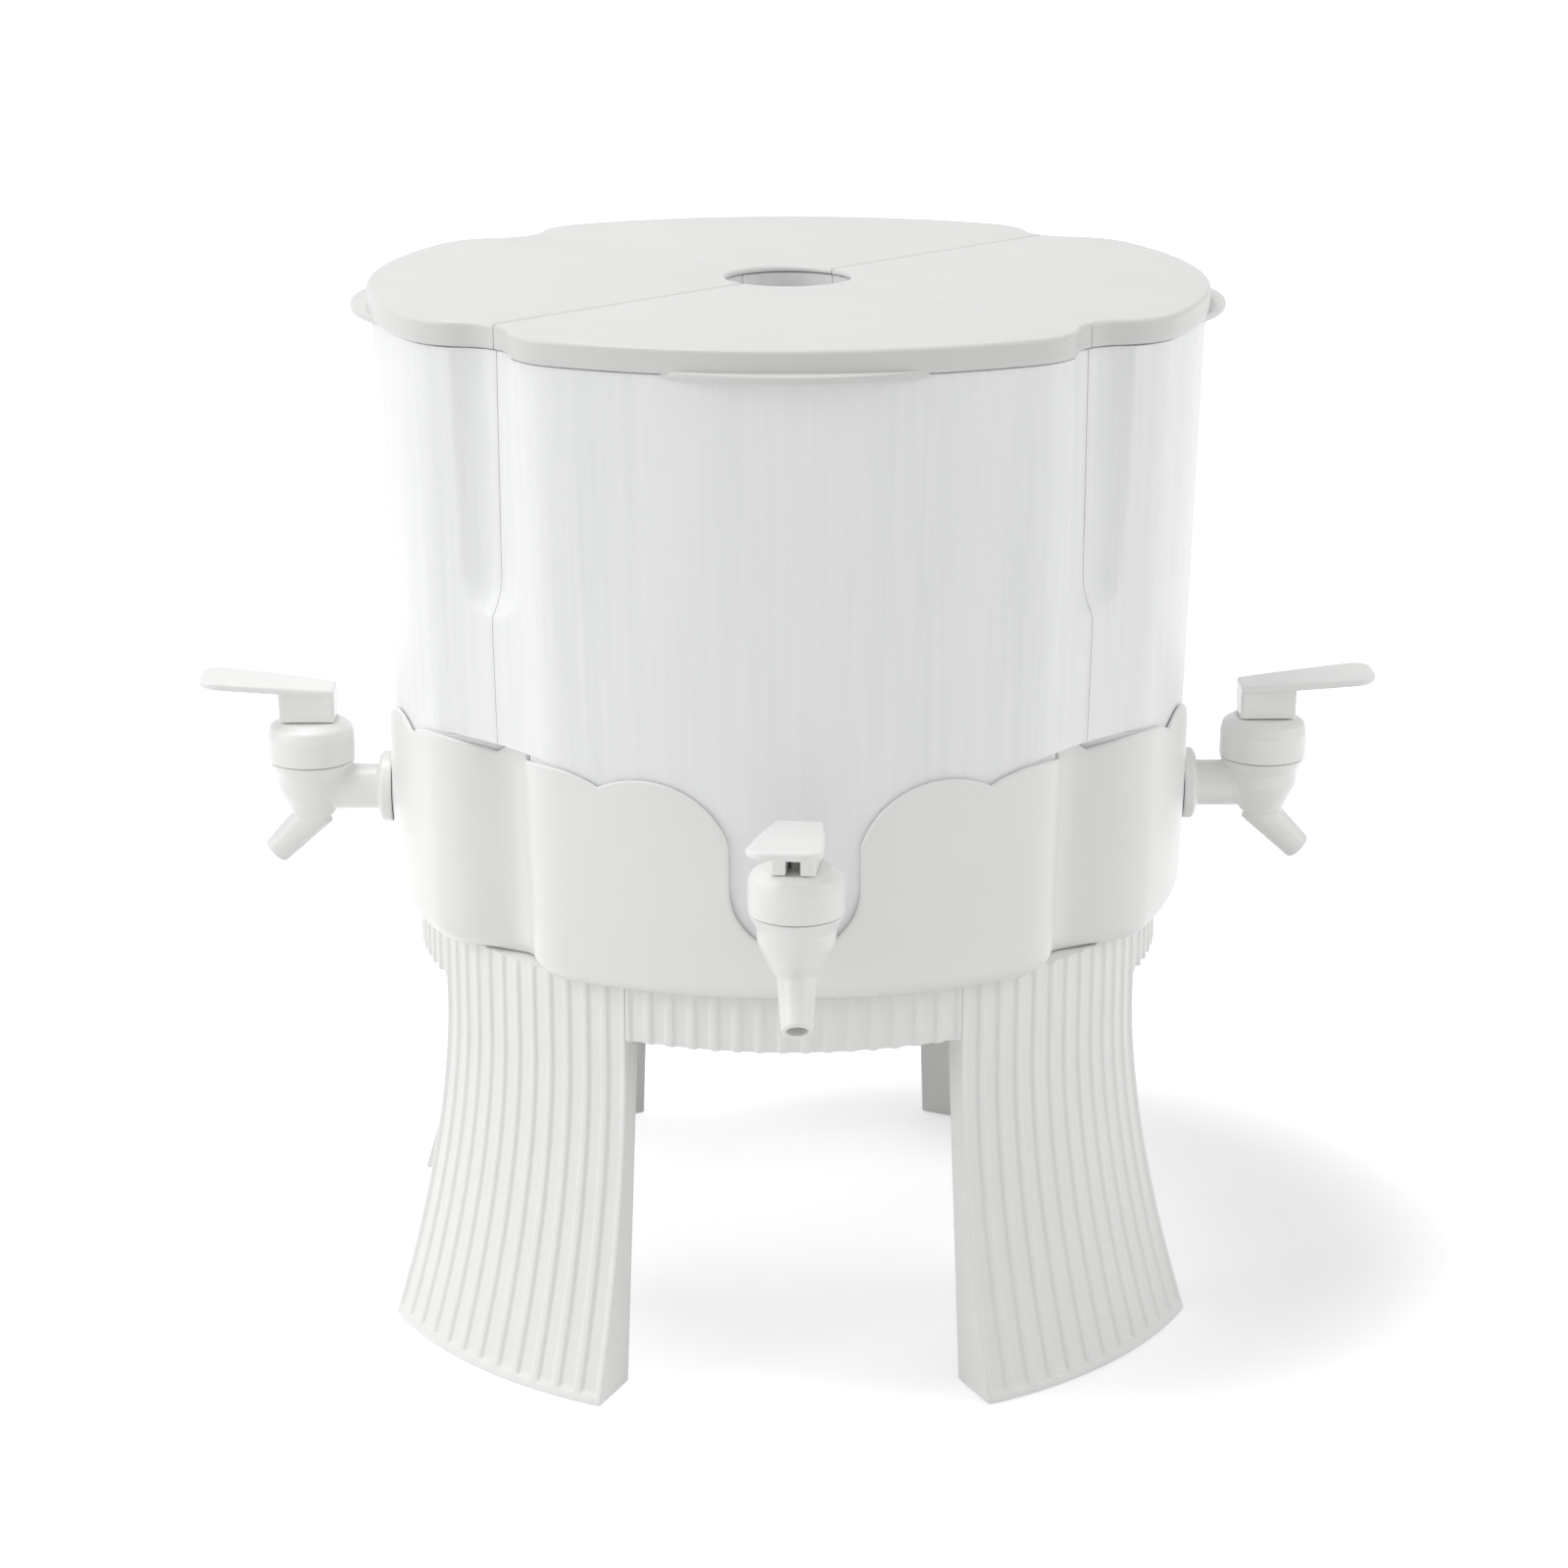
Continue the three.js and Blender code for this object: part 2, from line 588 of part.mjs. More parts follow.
function scoops(radius, top) {
  const out = notchReach(tankInset(rimLevel), tank.webRadius) - tank.scoopDepth + tank.scoopRadius;
  const [x, low] = [out / Math.SQRT2, tankTop - tank.scoopDrop];
  const ball = solid(new THREE.SphereGeometry(radius, 14, 6).rotateX(quarterTurn)).translate([x, x, low]);
  const groove = rod(new THREE.Vector3(x, x, low), new THREE.Vector3(x, x, top), radius, radius, 14);
  const one = ball.add(groove);
  return one.add(one.mirror([1, 0, 0]));
}

function tankBody() {
  const { wall } = tank;
  const outer = [
    ...roundedEdge(tank.edgeRound, tankBottom, 2).map(({ z, extra }) => seatSection(z, 0, extra)),
    seatSection(shelfLevel, 0, 0), webSection(shelfLevel + clear.fit, 0),
    webSection(rimLevel - tank.rimLead, 0), rimSection(rimLevel, 0, tank.rimStep),
    rimSection(tankTop, 0, tank.rimStep),
  ];
  const edge = roundedEdge(tank.edgeRound - wall, tankBottom + tank.floor, 1);
  const inner = [
    ...edge.map(({ z, extra }) => seatSection(z, wall, extra)),
    seatSection(shelfLevel + wall, wall, 0), webSection(shelfLevel + wall + clear.fit, wall),
    webSection(rimLevel - wall - tank.rimLead, wall), rimSection(rimLevel - wall, wall, 0),
    rimSection(tankTop + overrun, wall, 0),
  ];
  const alongPipe = (from, to, radius) => rod(
    new THREE.Vector3(0, from, tapLevel), new THREE.Vector3(0, to, tapLevel), radius, radius, 12,
  );
  const pad = alongPipe(padIn, padOut, tank.padRadius);
  const hole = alongPipe(pipeEnd, petalTip, tap.pipe + clear.nest);
  const outside = loft(outer).subtract(scoops(tank.scoopRadius, rimLevel));
  const inside = loft(inner).subtract(scoops(tank.scoopRadius + wall, rimLevel - wall));
  return outside.subtract(inside).add(pad).subtract(hole);
}

// Lid: a plate with an outer rim over the tank, a plug rib inside it and a crescent pull tab.

function lidTab() {
  const root = petalArc - tank.overhang + clear.nest;
  const sagitta = lid.tabOut + petalArc - Math.sqrt(petalArc ** 2 - lid.tabHalf ** 2);
  const radius = (lid.tabHalf ** 2 + sagitta ** 2) / (2 * sagitta);
  const centre = petalTip + lid.tabOut - radius;
  const apart = centre - arcCentre;
  const along = (root ** 2 - radius ** 2 + apart ** 2) / (2 * apart);
  const rootAngle = Math.acos(along / root);
  const outerAngle = Math.acos((along - apart) / radius);
  const outline = [
    ...arcPoints(0, centre, radius, quarterTurn - outerAngle, quarterTurn + outerAngle, 8),
    ...arcPoints(0, arcCentre, root, quarterTurn + rootAngle, quarterTurn - rootAngle, 4).slice(1, -1),
  ];
  const top = lidBottom + lid.tabLap;
  return loft([{ outline, z: top - lid.tabThickness }, { outline, z: top }]);
}

function lidBody() {
  const under = lidTop - lid.plate;
  const outerSection = (z, inset) => ({ z, outline: quadrant({
    inset, notch: lid.notch + inset, beside: lid.gap / 2 + inset, apex: tank.apex - lid.wellLead + inset,
  }) });
  const bevel = lid.edge * (1 - Math.SQRT1_2);
  const block = loft([
    outerSection(lidBottom, 0), outerSection(lidTop - lid.edge, 0),
    outerSection(lidTop - bevel, bevel), outerSection(lidTop, lid.edge),
  ]);
  const rimInset = tankInset(tankTop) + tank.rimStep - clear.cover;
  const open = quadrant({
    inset: rimInset, notch: lid.notch + rimInset, beside: 0, apex: tank.apex - lid.wellLead - overrun,
  });
  const room = loft([{ z: lidBottom - overrun, outline: open }, { z: under, outline: open }]);
  const plugLow = under - lid.plugDepth;
  const plugAt = (off, low, high) => {
    const { outline } = rimSection(plugLow, tank.wall + clear.cover + off, 0);
    return loft([{ z: low, outline }, { z: high, outline }]);
  };
  const plug = plugAt(0, plugLow, under + lid.plate / 2);
  const hollow = plugAt(lid.plugWall, plugLow - overrun, under);
  return block.subtract(room).add(plug.subtract(hollow)).add(lidTab());
}

// Tap: body with pipe, flange, barrel and slanted spout; bonnet, seat cup, stem, lever, gasket and nut.

const tapOrigin = [0, tapAxis, 0];
const collarTop = tapLevel + tap.collarRise;
const shoulder = collarTop + clear.fit + bonnet.side;
const bonnetTop = shoulder + bonnet.crownRise + bonnet.topRise;
const roofLevel = bonnetTop - bonnet.roof;
const cupBottom = tapLevel - tap.cavityDrop + clear.fit;
const leverBottom = bonnetTop + clear.fit;
const headLevel = leverBottom + lever.floor + stem.slack;

// A revolve whose axis lies along the pipe, out of the tank.
function revolveAlongPipe(profile, segments) {
  return revolve(profile, segments).rotate([-90, 0, 0]).translate([0, 0, tapLevel]);
}

function tapBody() {
  const neckTop = roofLevel - bonnet.neckRoom;
  const toe = tapLevel - tap.toeDrop;
  const pipe = revolveAlongPipe([
    [0, pipeEnd], [tap.pipe, pipeEnd], [tap.pipe, flangeIn], [tap.flange, flangeIn],
    [tap.flange, flangeOut - tap.flangeEdge], [tap.flange - tap.flangeRound, flangeOut],
    [tap.pipe, flangeOut], [tap.pipe, tapAxis], [0, tapAxis],
  ], 12);
  const barrel = revolve([
    [0, toe], [tap.toeRadius, toe], [tap.barrel, tapLevel + tap.taperRise],
    [tap.barrel, tapLevel + tap.barrelRise], [tap.collar, collarTop], [tap.neck, collarTop],
    [tap.neck, neckTop], [0, neckTop],
  ], 12).translate(tapOrigin);
  const tip = new THREE.Vector3(0, tapAxis + tap.spoutReach, tapLevel - tap.spoutDrop);
  const root = new THREE.Vector3(0, tapAxis, tip.z + tap.spoutReach);
  const spout = rod(root, tip, tap.spoutRoot, tap.spoutMouth, 8);
  const beyond = new THREE.Vector3().subVectors(tip, root).normalize().multiplyScalar(overrun);
  const spoutBore = rod(root.clone().sub(beyond), tip.clone().add(beyond), tap.spoutBore, tap.spoutBore, 8);
  const cavityFloor = new THREE.Vector3(0, tapAxis, tapLevel - tap.cavityDrop);
  const cavityTop = new THREE.Vector3(0, tapAxis, neckTop + overrun);
  const cavity = rod(cavityFloor, cavityTop, tap.cavity, tap.cavity, 10);
  const boreStart = new THREE.Vector3(0, pipeEnd - overrun, tapLevel);
  const boreEnd = new THREE.Vector3(0, tapAxis - tap.cavity / 2, tapLevel);
  const pipeBore = rod(boreStart, boreEnd, tap.pipeBore, tap.pipeBore, 8);
  return joined([pipe, barrel, spout]).subtract(joined([spoutBore, cavity, pipeBore]));
}

function tapBonnet() {
  const bottom = collarTop + clear.fit;
  const inside = tap.neck + clear.fit;
  const bore = stem.radius + clear.fit;
  return revolve([
    [inside, bottom], [tap.collar, bottom], [tap.collar, shoulder],
    [tap.collar - bonnet.crownIn, shoulder + bonnet.crownRise], [tap.collar - bonnet.topIn, bonnetTop],
    [bore, bonnetTop], [bore, roofLevel], [inside, roofLevel],
  ], 12).translate(tapOrigin);
}

function tapGasket() {
  const outer = flangeIn - clear.fit;
  const bore = tap.pipe + clear.fit;
  const radius = tap.flange - gasket.inset;
  return revolveAlongPipe([
    [bore, outer - gasket.thickness], [radius, outer - gasket.thickness], [radius, outer], [bore, outer],
  ], 12);
}

function tapNut() {
  const face = padIn - clear.fit;
  const bore = tap.pipe + clear.fit;
  const hole = rod(
    new THREE.Vector3(0, 0, face - nut.thickness - overrun), new THREE.Vector3(0, 0, face + overrun),
    bore, bore, 12,
  );
  const hex = hexagon(2 * nut.radius, face - nut.thickness, face).subtract(hole);
  return hex.rotate([-90, 0, 0]).translate([0, 0, tapLevel]);
}

function tapStem() {
  const foot = cupBottom + cup.web + clear.fit;
  const top = headLevel + stem.headThickness;
  return revolve([
    [0, foot], [stem.radius, foot], [stem.radius, headLevel], [stem.head, headLevel],
    [stem.head, top], [0, top],
  ], 8).translate(tapOrigin);
}

function tapSeatCup() {
  const waistLow = cupBottom + cup.noseHeight + cup.taper;
  const waistHigh = waistLow + cup.waistHeight;
  const rimLow = waistHigh + cup.flareHeight;
  const top = rimLow + cup.rimHeight;
  const rim = tap.cavity - cup.rimPlay;
  const bore = stem.radius + clear.fit;
  return revolve([
    [0, cupBottom], [cup.nose - cup.noseEdge, cupBottom], [cup.nose, cupBottom + cup.noseEdge],
    [cup.nose, cupBottom + cup.noseHeight], [cup.waist, waistLow], [cup.waist, waistHigh],
    [rim, rimLow], [rim, top], [bore, top], [bore, cupBottom + cup.web], [0, cupBottom + cup.web],
  ], 8).translate(tapOrigin);
}

// Lever: a square hub that rocks on its outer lower edge, and a paddle that widens to a round tip.
// The hub holds the stem's head in a pocket, with a slot below for the neck and a notch in front.
// It is made with the tap's axis as its own.
function tapLever() {
  const pocketIn = stem.head + lever.headSwing;
  const pocketOut = stem.head + lever.headPlay;
  const pocketHalf = stem.head + lever.headPlay;
  const inner = -pocketIn - lever.backWall;
  const outer = pocketOut + lever.toe;
  const hubHalf = pocketHalf + lever.sideWall;
  const rootHalf = hubHalf + lever.rootLead;
  const rootTop = leverBottom + lever.height;
  const hub = block([-hubHalf, inner, leverBottom], [hubHalf, outer, rootTop - lever.thickness / 2]);
  const shape = new THREE.Shape();
  const roundY = lever.reach - lever.tipRound;
  const roundX = lever.tipHalf - lever.tipRound;
  shape.moveTo(-rootHalf, inner);
  shape.lineTo(rootHalf, inner);
  shape.lineTo(lever.tipHalf, roundY);
  shape.absarc(roundX, roundY, lever.tipRound, 0, quarterTurn, false);
  shape.absarc(-roundX, roundY, lever.tipRound, quarterTurn, halfTurn, false);
  shape.closePath();
  const flat = new THREE.ExtrudeGeometry(shape, {
    depth: lever.thickness, bevelEnabled: false, curveSegments: 4,
  });
  const slope = lever.tipRise / (lever.reach - inner);
  const shear = new THREE.Matrix4().set(1, 0, 0, 0, 0, 1, 0, 0, 0, slope, 1, 0, 0, 0, 0, 1);
  flat.translate(0, -inner, 0).applyMatrix4(shear);
  flat.translate(0, inner, rootTop - lever.thickness);
  const floor = leverBottom + lever.floor;
  const roof = headLevel + stem.headThickness + lever.headRoom;
  const pocket = block([-pocketHalf, -pocketIn, floor], [pocketHalf, pocketOut, roof]);
  const slotHalf = stem.radius + lever.neckPlay;
  const slot = block(
    [-slotHalf, -stem.radius - lever.neckSwing, leverBottom - overrun],
    [slotHalf, slotHalf, headLevel],
  );
  const notchHalf = stem.radius + lever.notchPlay;
  const notch = block(
    [-notchHalf, 0, leverBottom - overrun],
    [notchHalf, outer + overrun, leverBottom + lever.floor + lever.notchRise],
  );
  return hub.add(solid(flat)).subtract(joined([pocket, slot, notch]));
}

const abs = finish(colours.abs, 0.42);
const frosted = finish(colours.frosted, 0.5);
const silicone = finish(colours.silicone, 0.6);
const steel = finish(colours.steel, 0.35, 1);
const acetal = finish(colours.acetal, 0.4);

const dispenser = new THREE.Group();
dispenser.add(meshOf('stand_ring', standRing(), abs));
dispenser.add(meshOf('bearing_cage', bearingCage(), acetal));
dispenser.add(meshOf('spindle_bolt', spindleBolt(), steel));
dispenser.add(meshOf('spindle_washer', spindleWasher(), steel));
dispenser.add(meshOf('spindle_nut', spindleNut(), steel));
dispenser.add(meshOf('cradle', cradleBody(), abs));

const ballBody = bearingBall();
around(bearing.count, (i, angle) => {
  const mesh = meshOf(`bearing_ball_${i + 1}`, ballBody, acetal);
  const place = polar(trackRadius, angle);
  mesh.position.set(place.x, place.y, ballLevel);
  dispenser.add(mesh);
});

const legBody = leg();
const screwBody = legScrew();
const corners = { back_left: 1, front_left: 3, front_right: 5, back_right: 7 };
for (const [place, eighths] of Object.entries(corners)) {
  const cornerGroup = new THREE.Group();
  cornerGroup.rotation.z = eighths * diagonal;
  cornerGroup.add(meshOf(`leg_${place}`, legBody, abs));
  cornerGroup.add(meshOf(`leg_screw_${place}`, screwBody, steel));
  dispenser.add(cornerGroup);
}

const pieces = [
  ['tank', tankBody(), frosted], ['lid', lidBody(), abs], ['tap_body', tapBody(), abs],
  ['tap_bonnet', tapBonnet(), abs], ['tap_gasket', tapGasket(), silicone], ['tap_nut', tapNut(), abs],
  ['tap_stem', tapStem(), acetal], ['tap_seat_cup', tapSeatCup(), silicone],
];
const leverBody = tapLever();
const sides = { back: 0, left: 1, front: 2, right: 3 };
for (const [side, quarters] of Object.entries(sides)) {
  const petalGroup = new THREE.Group();
  petalGroup.rotation.z = quarters * quarterTurn;
  for (const [name, body, material] of pieces) {
    petalGroup.add(meshOf(`${name}_${side}`, body, material));
  }
  const mesh = meshOf(`tap_lever_${side}`, leverBody, abs);
  mesh.position.y = tapAxis;
  mesh.rotation.z = side === 'front' ? lever.frontTurn : 0;
  petalGroup.add(mesh);
  dispenser.add(petalGroup);
}

export default dispenser;
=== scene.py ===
"""Visual model of the rotating drink dispenser: white moulded plastic, milky tanks, soft studio light."""
import math

import bmesh
import bpy
import numpy as np
from mathutils import Matrix, Vector
from mathutils.geometry import delaunay_2d_cdt


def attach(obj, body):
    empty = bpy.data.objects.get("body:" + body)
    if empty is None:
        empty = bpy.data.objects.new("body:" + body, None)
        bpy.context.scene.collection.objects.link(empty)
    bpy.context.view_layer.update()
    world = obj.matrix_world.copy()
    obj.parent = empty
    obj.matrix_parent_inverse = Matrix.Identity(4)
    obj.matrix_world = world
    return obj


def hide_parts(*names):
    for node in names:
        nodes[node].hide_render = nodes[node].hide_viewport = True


MM = 0.001
DEGREE = math.pi / 180
EIGHTH = 45 * DEGREE

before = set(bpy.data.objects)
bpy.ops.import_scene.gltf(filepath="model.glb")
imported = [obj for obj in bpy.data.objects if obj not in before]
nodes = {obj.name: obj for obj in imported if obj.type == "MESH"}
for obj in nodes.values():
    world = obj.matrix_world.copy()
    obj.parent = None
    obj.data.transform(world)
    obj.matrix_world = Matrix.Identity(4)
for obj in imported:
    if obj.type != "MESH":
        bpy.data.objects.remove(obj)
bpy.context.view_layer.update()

SIDES = {"back": 0, "left": 1, "front": 2, "right": 3}
CORNERS = {"back_left": 1, "front_left": 3, "front_right": 5, "back_right": 7}

# Sizes in millimetres and angles in degrees. They are the solids' own, apart from thinner gaps between tanks,
# lids and legs and a tank shelf that lies 0.6 mm lower, which only the eye needs.
PETAL = {"half": 88.3, "flank": 12.2, "corner": 24.0, "bulge": 16.0}
TANK = {"bottom": 141.9, "top": 346.7, "rim": 340.5, "inset": 1.3, "slope": math.tan(1.4 * DEGREE),
        "wall": 2.2, "floor": 2.4, "round": 6.4, "straight": 156.0, "beside": 0.15, "apex": 21.6,
        "notch": 10.0, "web": 120.0, "shelf": 213.3, "step": 1.0, "scoop": 18.0, "scoop_at": 148.4,
        "scoop_foot": 268.0, "pad": 13.2, "pad_in": 131.6, "pad_out": 135.3}
LID = {"top": 349.0, "plate": 2.0, "bottom": 341.0, "edge": 1.4, "notch": 17.0, "beside": 0.15, "apex": 21.0,
       "rim": 1.65, "plug_foot": 342.0, "plug_in": 2.7, "plug_wall": 1.6,
       "tab_out": 6.0, "tab_half": 38.0, "tab_root": 0.9, "tab_low": 339.5, "tab_high": 342.0}
CRADLE = {"gap": 0.4, "wall": 1.6, "bottom": 139.4, "floor": 2.2, "round": 8.0, "notch": 8.0, "hub": 21.2,
          "hub_top": 165.0, "hub_seat": 150.0, "hub_room": 17.0, "bore": 4.4, "slot": 20.8,
          "slot_centre": 178.0, "bump_at": 48.0, "bump_z": 183.5, "bump": 28.5, "dip": 208.4,
          "corner_lobe": 4.6, "notch_lobe": 3.8, "lobe_angle": 3.2}
STAND = {"radius": 128.6, "flare": 22.0, "start": 110.0, "power": 1.7, "inner": 119.7, "inner_flare": 9.7,
         "half": 20.0, "depth": 1.0, "skin": 2.2, "top": 139.0, "ring_bottom": 120.0, "ring_wall": 2.4,
         "deck": 133.0, "deck_wall": 2.4, "band": 2.5, "track": 96.5, "bore": 4.3, "hub": 12.0,
         "hub_bottom": 118.0, "hub_top": 139.1, "plate": 2.4, "seam": 0.05, "leg_flutes": 12,
         "ring_flutes": 15}
TAP = {"axis": 165.5, "level": 171.0, "front_turn": -7.5}

TIP = PETAL["half"] + PETAL["flank"] + PETAL["corner"] + PETAL["bulge"]
CORNER_X = PETAL["half"] - PETAL["corner"]
CORNER_Y = PETAL["half"] + PETAL["flank"]
ARC = (CORNER_X ** 2 + (PETAL["bulge"] + PETAL["corner"]) ** 2 - PETAL["corner"] ** 2) / (2 * PETAL["bulge"])
ARC_CENTRE = TIP - ARC


# Mesh helpers. Points are in millimetres.

WELD = 0.002  # points closer than this become one
POLE = 0.002  # radius that stands for the axis in a revolve
CORNER_SHARE = 0.49  # the most of an edge that one rounded corner takes up


def mesh_from(name, part, material=None, crease=35):
    """A mesh from points and faces, smooth apart from edges sharper than crease degrees."""
    mesh = bpy.data.meshes.new(name)
    mesh.from_pydata((np.asarray(part[0], float) * MM).tolist(), [], [list(face) for face in part[1]])
    mesh.validate()
    work = bmesh.new()
    work.from_mesh(mesh)
    bmesh.ops.remove_doubles(work, verts=work.verts, dist=WELD * MM)
    bmesh.ops.dissolve_degenerate(work, dist=WELD / 2 * MM, edges=work.edges)
    bmesh.ops.recalc_face_normals(work, faces=work.faces)
    work.to_mesh(mesh)
    work.free()
    mesh.shade_smooth()
    mesh.set_sharp_from_angle(angle=crease * DEGREE)
    if material:
        mesh.materials.append(material)
    return mesh


def place_piece(name, mesh, body, node, quarters=0.0, at=(0, 0, 0)):
    """Put a mesh in the scene, turned about the axis, in place of the CAD node that it stands for."""
    piece = bpy.data.objects.new(name, mesh)
    bpy.context.scene.collection.objects.link(piece)
    piece.location = at
    piece.rotation_euler.z = quarters * math.pi / 2
    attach(piece, body)
    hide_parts(node)
    return piece


def skin(rings, caps=True):
    """Points and faces of a tube through rings with equal counts of points, closed at both ends."""
    rings = [np.asarray(r, float) for r in rings]
    count = len(rings[0])
    points = np.concatenate(rings)
    faces = []
    for level in range(len(rings) - 1):
        a, b = level * count, (level + 1) * count
        for i in range(count):
            j = (i + 1) % count
            faces.append((a + i, a + j, b + j, b + i))
    if caps:
        last = (len(rings) - 1) * count
        faces.append(tuple(range(count - 1, -1, -1)))
        faces.append(tuple(range(last, last + count)))
    return points, faces


def merge(*parts):
    """Several (points, faces) parts as one."""
    points, faces, start = [], [], 0
    for p, f in parts:
        points.append(np.asarray(p, float))
        faces += [tuple(i + start for i in face) for face in f]
        start += len(p)
    return np.concatenate(points), faces


def at_level(outline, z):
    """Lift a flat outline to one level, or to a level for each point."""
    outline = np.asarray(outline, float)
    z = np.broadcast_to(np.asarray(z, float), (len(outline),))
    return np.column_stack([outline, z])


def turned(points, angle):
    """Points turned about Z."""
    c, s = math.cos(angle), math.sin(angle)
    p = np.array(points, float)
    x, y = p[:, 0].copy(), p[:, 1].copy()
    p[:, 0], p[:, 1] = x * c - y * s, x * s + y * c
    return p


def spun(profile, segments=72):
    """Rings for a revolve about Z through (radius, level) pairs that start and end on the axis."""
    turns = np.linspace(0, 2 * math.pi, segments, endpoint=False)
    rings = []
    for r, z in profile:
        r = max(r, POLE)
        rings.append(np.column_stack([r * np.cos(turns), r * np.sin(turns), np.full(segments, z)]))
    return rings


def rounded(profile, radii, steps=5):
    """A profile of (radius, level) pairs whose corners are rounded by the radii given for each of them."""
    out = []
    for i, (point, radius) in enumerate(zip(profile, radii)):
        p = np.array(point, float)
        if radius <= 0 or i in (0, len(profile) - 1):
            out.append(tuple(p))
            continue
        a = np.array(profile[i - 1], float) - p
        b = np.array(profile[i + 1], float) - p
        la, lb = np.linalg.norm(a), np.linalg.norm(b)
        a, b = a / la, b / lb
        half = math.acos(max(-1, min(1, float(a @ b)))) / 2
        reach = min(radius / math.tan(half), la * CORNER_SHARE, lb * CORNER_SHARE)
        for k in range(steps + 1):
            t = k / steps
            out.append(tuple(p + a * reach * (1 - t) ** 2 + b * reach * t ** 2))
    return out


def eased(share):
    """A share from 0 to 1, slowed at both ends."""
    return share * share * (3 - 2 * share)


# Petal outlines.

HOLLOW_STEPS, CORNER_STEPS, FRONT_STEPS = 26, 16, 20
FLANK_STEPS = 16
APEX_STEPS = 25


def arc(cx, cy, radius, start, end, count):
    t = np.linspace(start, end, count)
    return np.column_stack([cx + radius * np.cos(t), cy + radius * np.sin(t)])


def notch_centre(inset, notch):
    """Centre of the round between two petals, as far along X as along Y.

    A small round touches the flat flanks, and one too large for them runs straight into the corners."""
    on_flank = PETAL["half"] - inset + notch
    if on_flank <= CORNER_Y:
        return on_flank
    apart = notch + PETAL["corner"] - inset
    skew = (CORNER_Y - CORNER_X) / 2
    return (CORNER_X + CORNER_Y) / 2 + math.sqrt(apart ** 2 / 2 - skew ** 2)


def petal_side(inset, notch, beside, fine=1):
    """Right side of a petal whose axis is +Y: notch, round corner and half of the outer arc."""
    centre = notch_centre(inset, notch)
    lean = math.atan2(max(0.0, centre - CORNER_Y), centre - CORNER_X)
    tangent = math.atan2(CORNER_Y - ARC_CENTRE, CORNER_X)
    start = 1.25 * math.pi - math.asin(beside / notch)
    hollow = arc(centre, centre, notch, start, math.pi + lean, HOLLOW_STEPS * fine)
    corner = arc(CORNER_X, CORNER_Y, PETAL["corner"] - inset, lean, tangent, CORNER_STEPS * fine)
    front = arc(0, ARC_CENTRE, ARC - inset, tangent, math.pi / 2, FRONT_STEPS * fine)
    return np.concatenate([hollow, corner, front[1:]])


def both_sides(side):
    """A right side and its mirror image, as one line from right to left."""
    mirrored = side[:-1][::-1].copy()
    mirrored[:, 0] *= -1
    return np.concatenate([side, mirrored])


def quadrant(inset, notch, beside, apex, lip=1.0):
    """Outline of a quarter of the top: one petal, its two diagonal flanks and a round cut at the axis.

    Each flank's last point lies a lip's width inside the outer wall."""
    outer = both_sides(petal_side(inset, notch, beside))
    off = math.asin(beside / apex)
    inner = arc(0, 0, apex, 0.75 * math.pi - off, 0.25 * math.pi + off, APEX_STEPS)
    length = np.linalg.norm(outer[-1] - inner[0])
    shares = np.linspace(lip / length, 1, FLANK_STEPS + 1)[:-1, None]
    left = outer[-1] + (inner[0] - outer[-1]) * shares
    right = outer[0] + (inner[-1] - outer[0]) * shares[::-1]
    return np.concatenate([outer, left, inner, right])


OUTER_COUNT = len(both_sides(petal_side(0, TANK["notch"], 0)))


def tank_inset(z):
    """How far the drafted tank wall lies inside the lid's outline."""
    return TANK["inset"] + (TANK["rim"] - z) * TANK["slope"]


SCOOP_SOFTNESS = 1.0  # how broadly a scoop's edge is rounded
SCOOP_MARGIN = 6.0  # how far past its radius a scoop still moves the wall


def scooped(outline, z, extra):
    """Push an outline softly out of the finger scoops that run down both notches of a tank."""
    radius = TANK["scoop"] + extra
    below = max(0.0, TANK["scoop_foot"] - z)
    if below >= radius:
        return outline
    radius = math.sqrt(radius ** 2 - below ** 2)
    out = outline.copy()
    for sign in (1, -1):
        centre = np.array([sign, 1.0]) * TANK["scoop_at"] / math.sqrt(2)
        away = out - centre
        far = np.linalg.norm(away, axis=1)[:, None]
        pushed = (far + radius + np.sqrt((far - radius) ** 2 + SCOOP_SOFTNESS ** 2)) / 2
        fade = np.clip((radius + SCOOP_MARGIN - far) / SCOOP_MARGIN, 0, 1)
        out = np.where(fade > 0, centre + away / far * (far + (pushed - far) * fade), out)
    return out


# Materials.

LID_TINT, TAP_TINT = "#D9D9D7", "#EFEFED"
SHADE = 0.95  # how dark the darkest clouding of the white plastic is, against its own tint
COLOUR_A, COLOUR_B, MIXED_COLOUR = 6, 7, 2  # a colour mix's two inputs and its output


def srgb(code):
    """Linear colour from an sRGB hex value."""
    values = [int(code[i:i + 2], 16) / 255 for i in (1, 3, 5)]
    return [v / 12.92 if v <= 0.04045 else ((v + 0.055) / 1.055) ** 2.4 for v in values] + [1.0]


def set_node(node, **settings):
    """Set a node's attributes, and its sockets, whose names are given with _ for a blank."""
    for key, value in settings.items():
        if hasattr(node, key):
            setattr(node, key, value)
        else:
            node.inputs[key.replace("_", " ")].default_value = value


def add_node(tree, kind, links=(), **settings):
    """Add a node, set its attributes and sockets, and link (output, input name) pairs into it."""
    node = tree.nodes.new(kind)
    set_node(node, **settings)
    for output, name in links:
        tree.links.new(output, node.inputs[name])
    return node


def new_material(name):
    """A node material, its tree, its main shader and the place in the object that its patterns start from."""
    material = bpy.data.materials.new(name)
    material.use_nodes = True
    tree = material.node_tree
    return material, tree, tree.nodes["Principled BSDF"], add_node(tree, "ShaderNodeTexCoord").outputs["Object"]


def per_mm(size):
    """Texture scale, in object coordinates of metres, for a pattern that repeats every size millimetres."""
    return 1000.0 / size


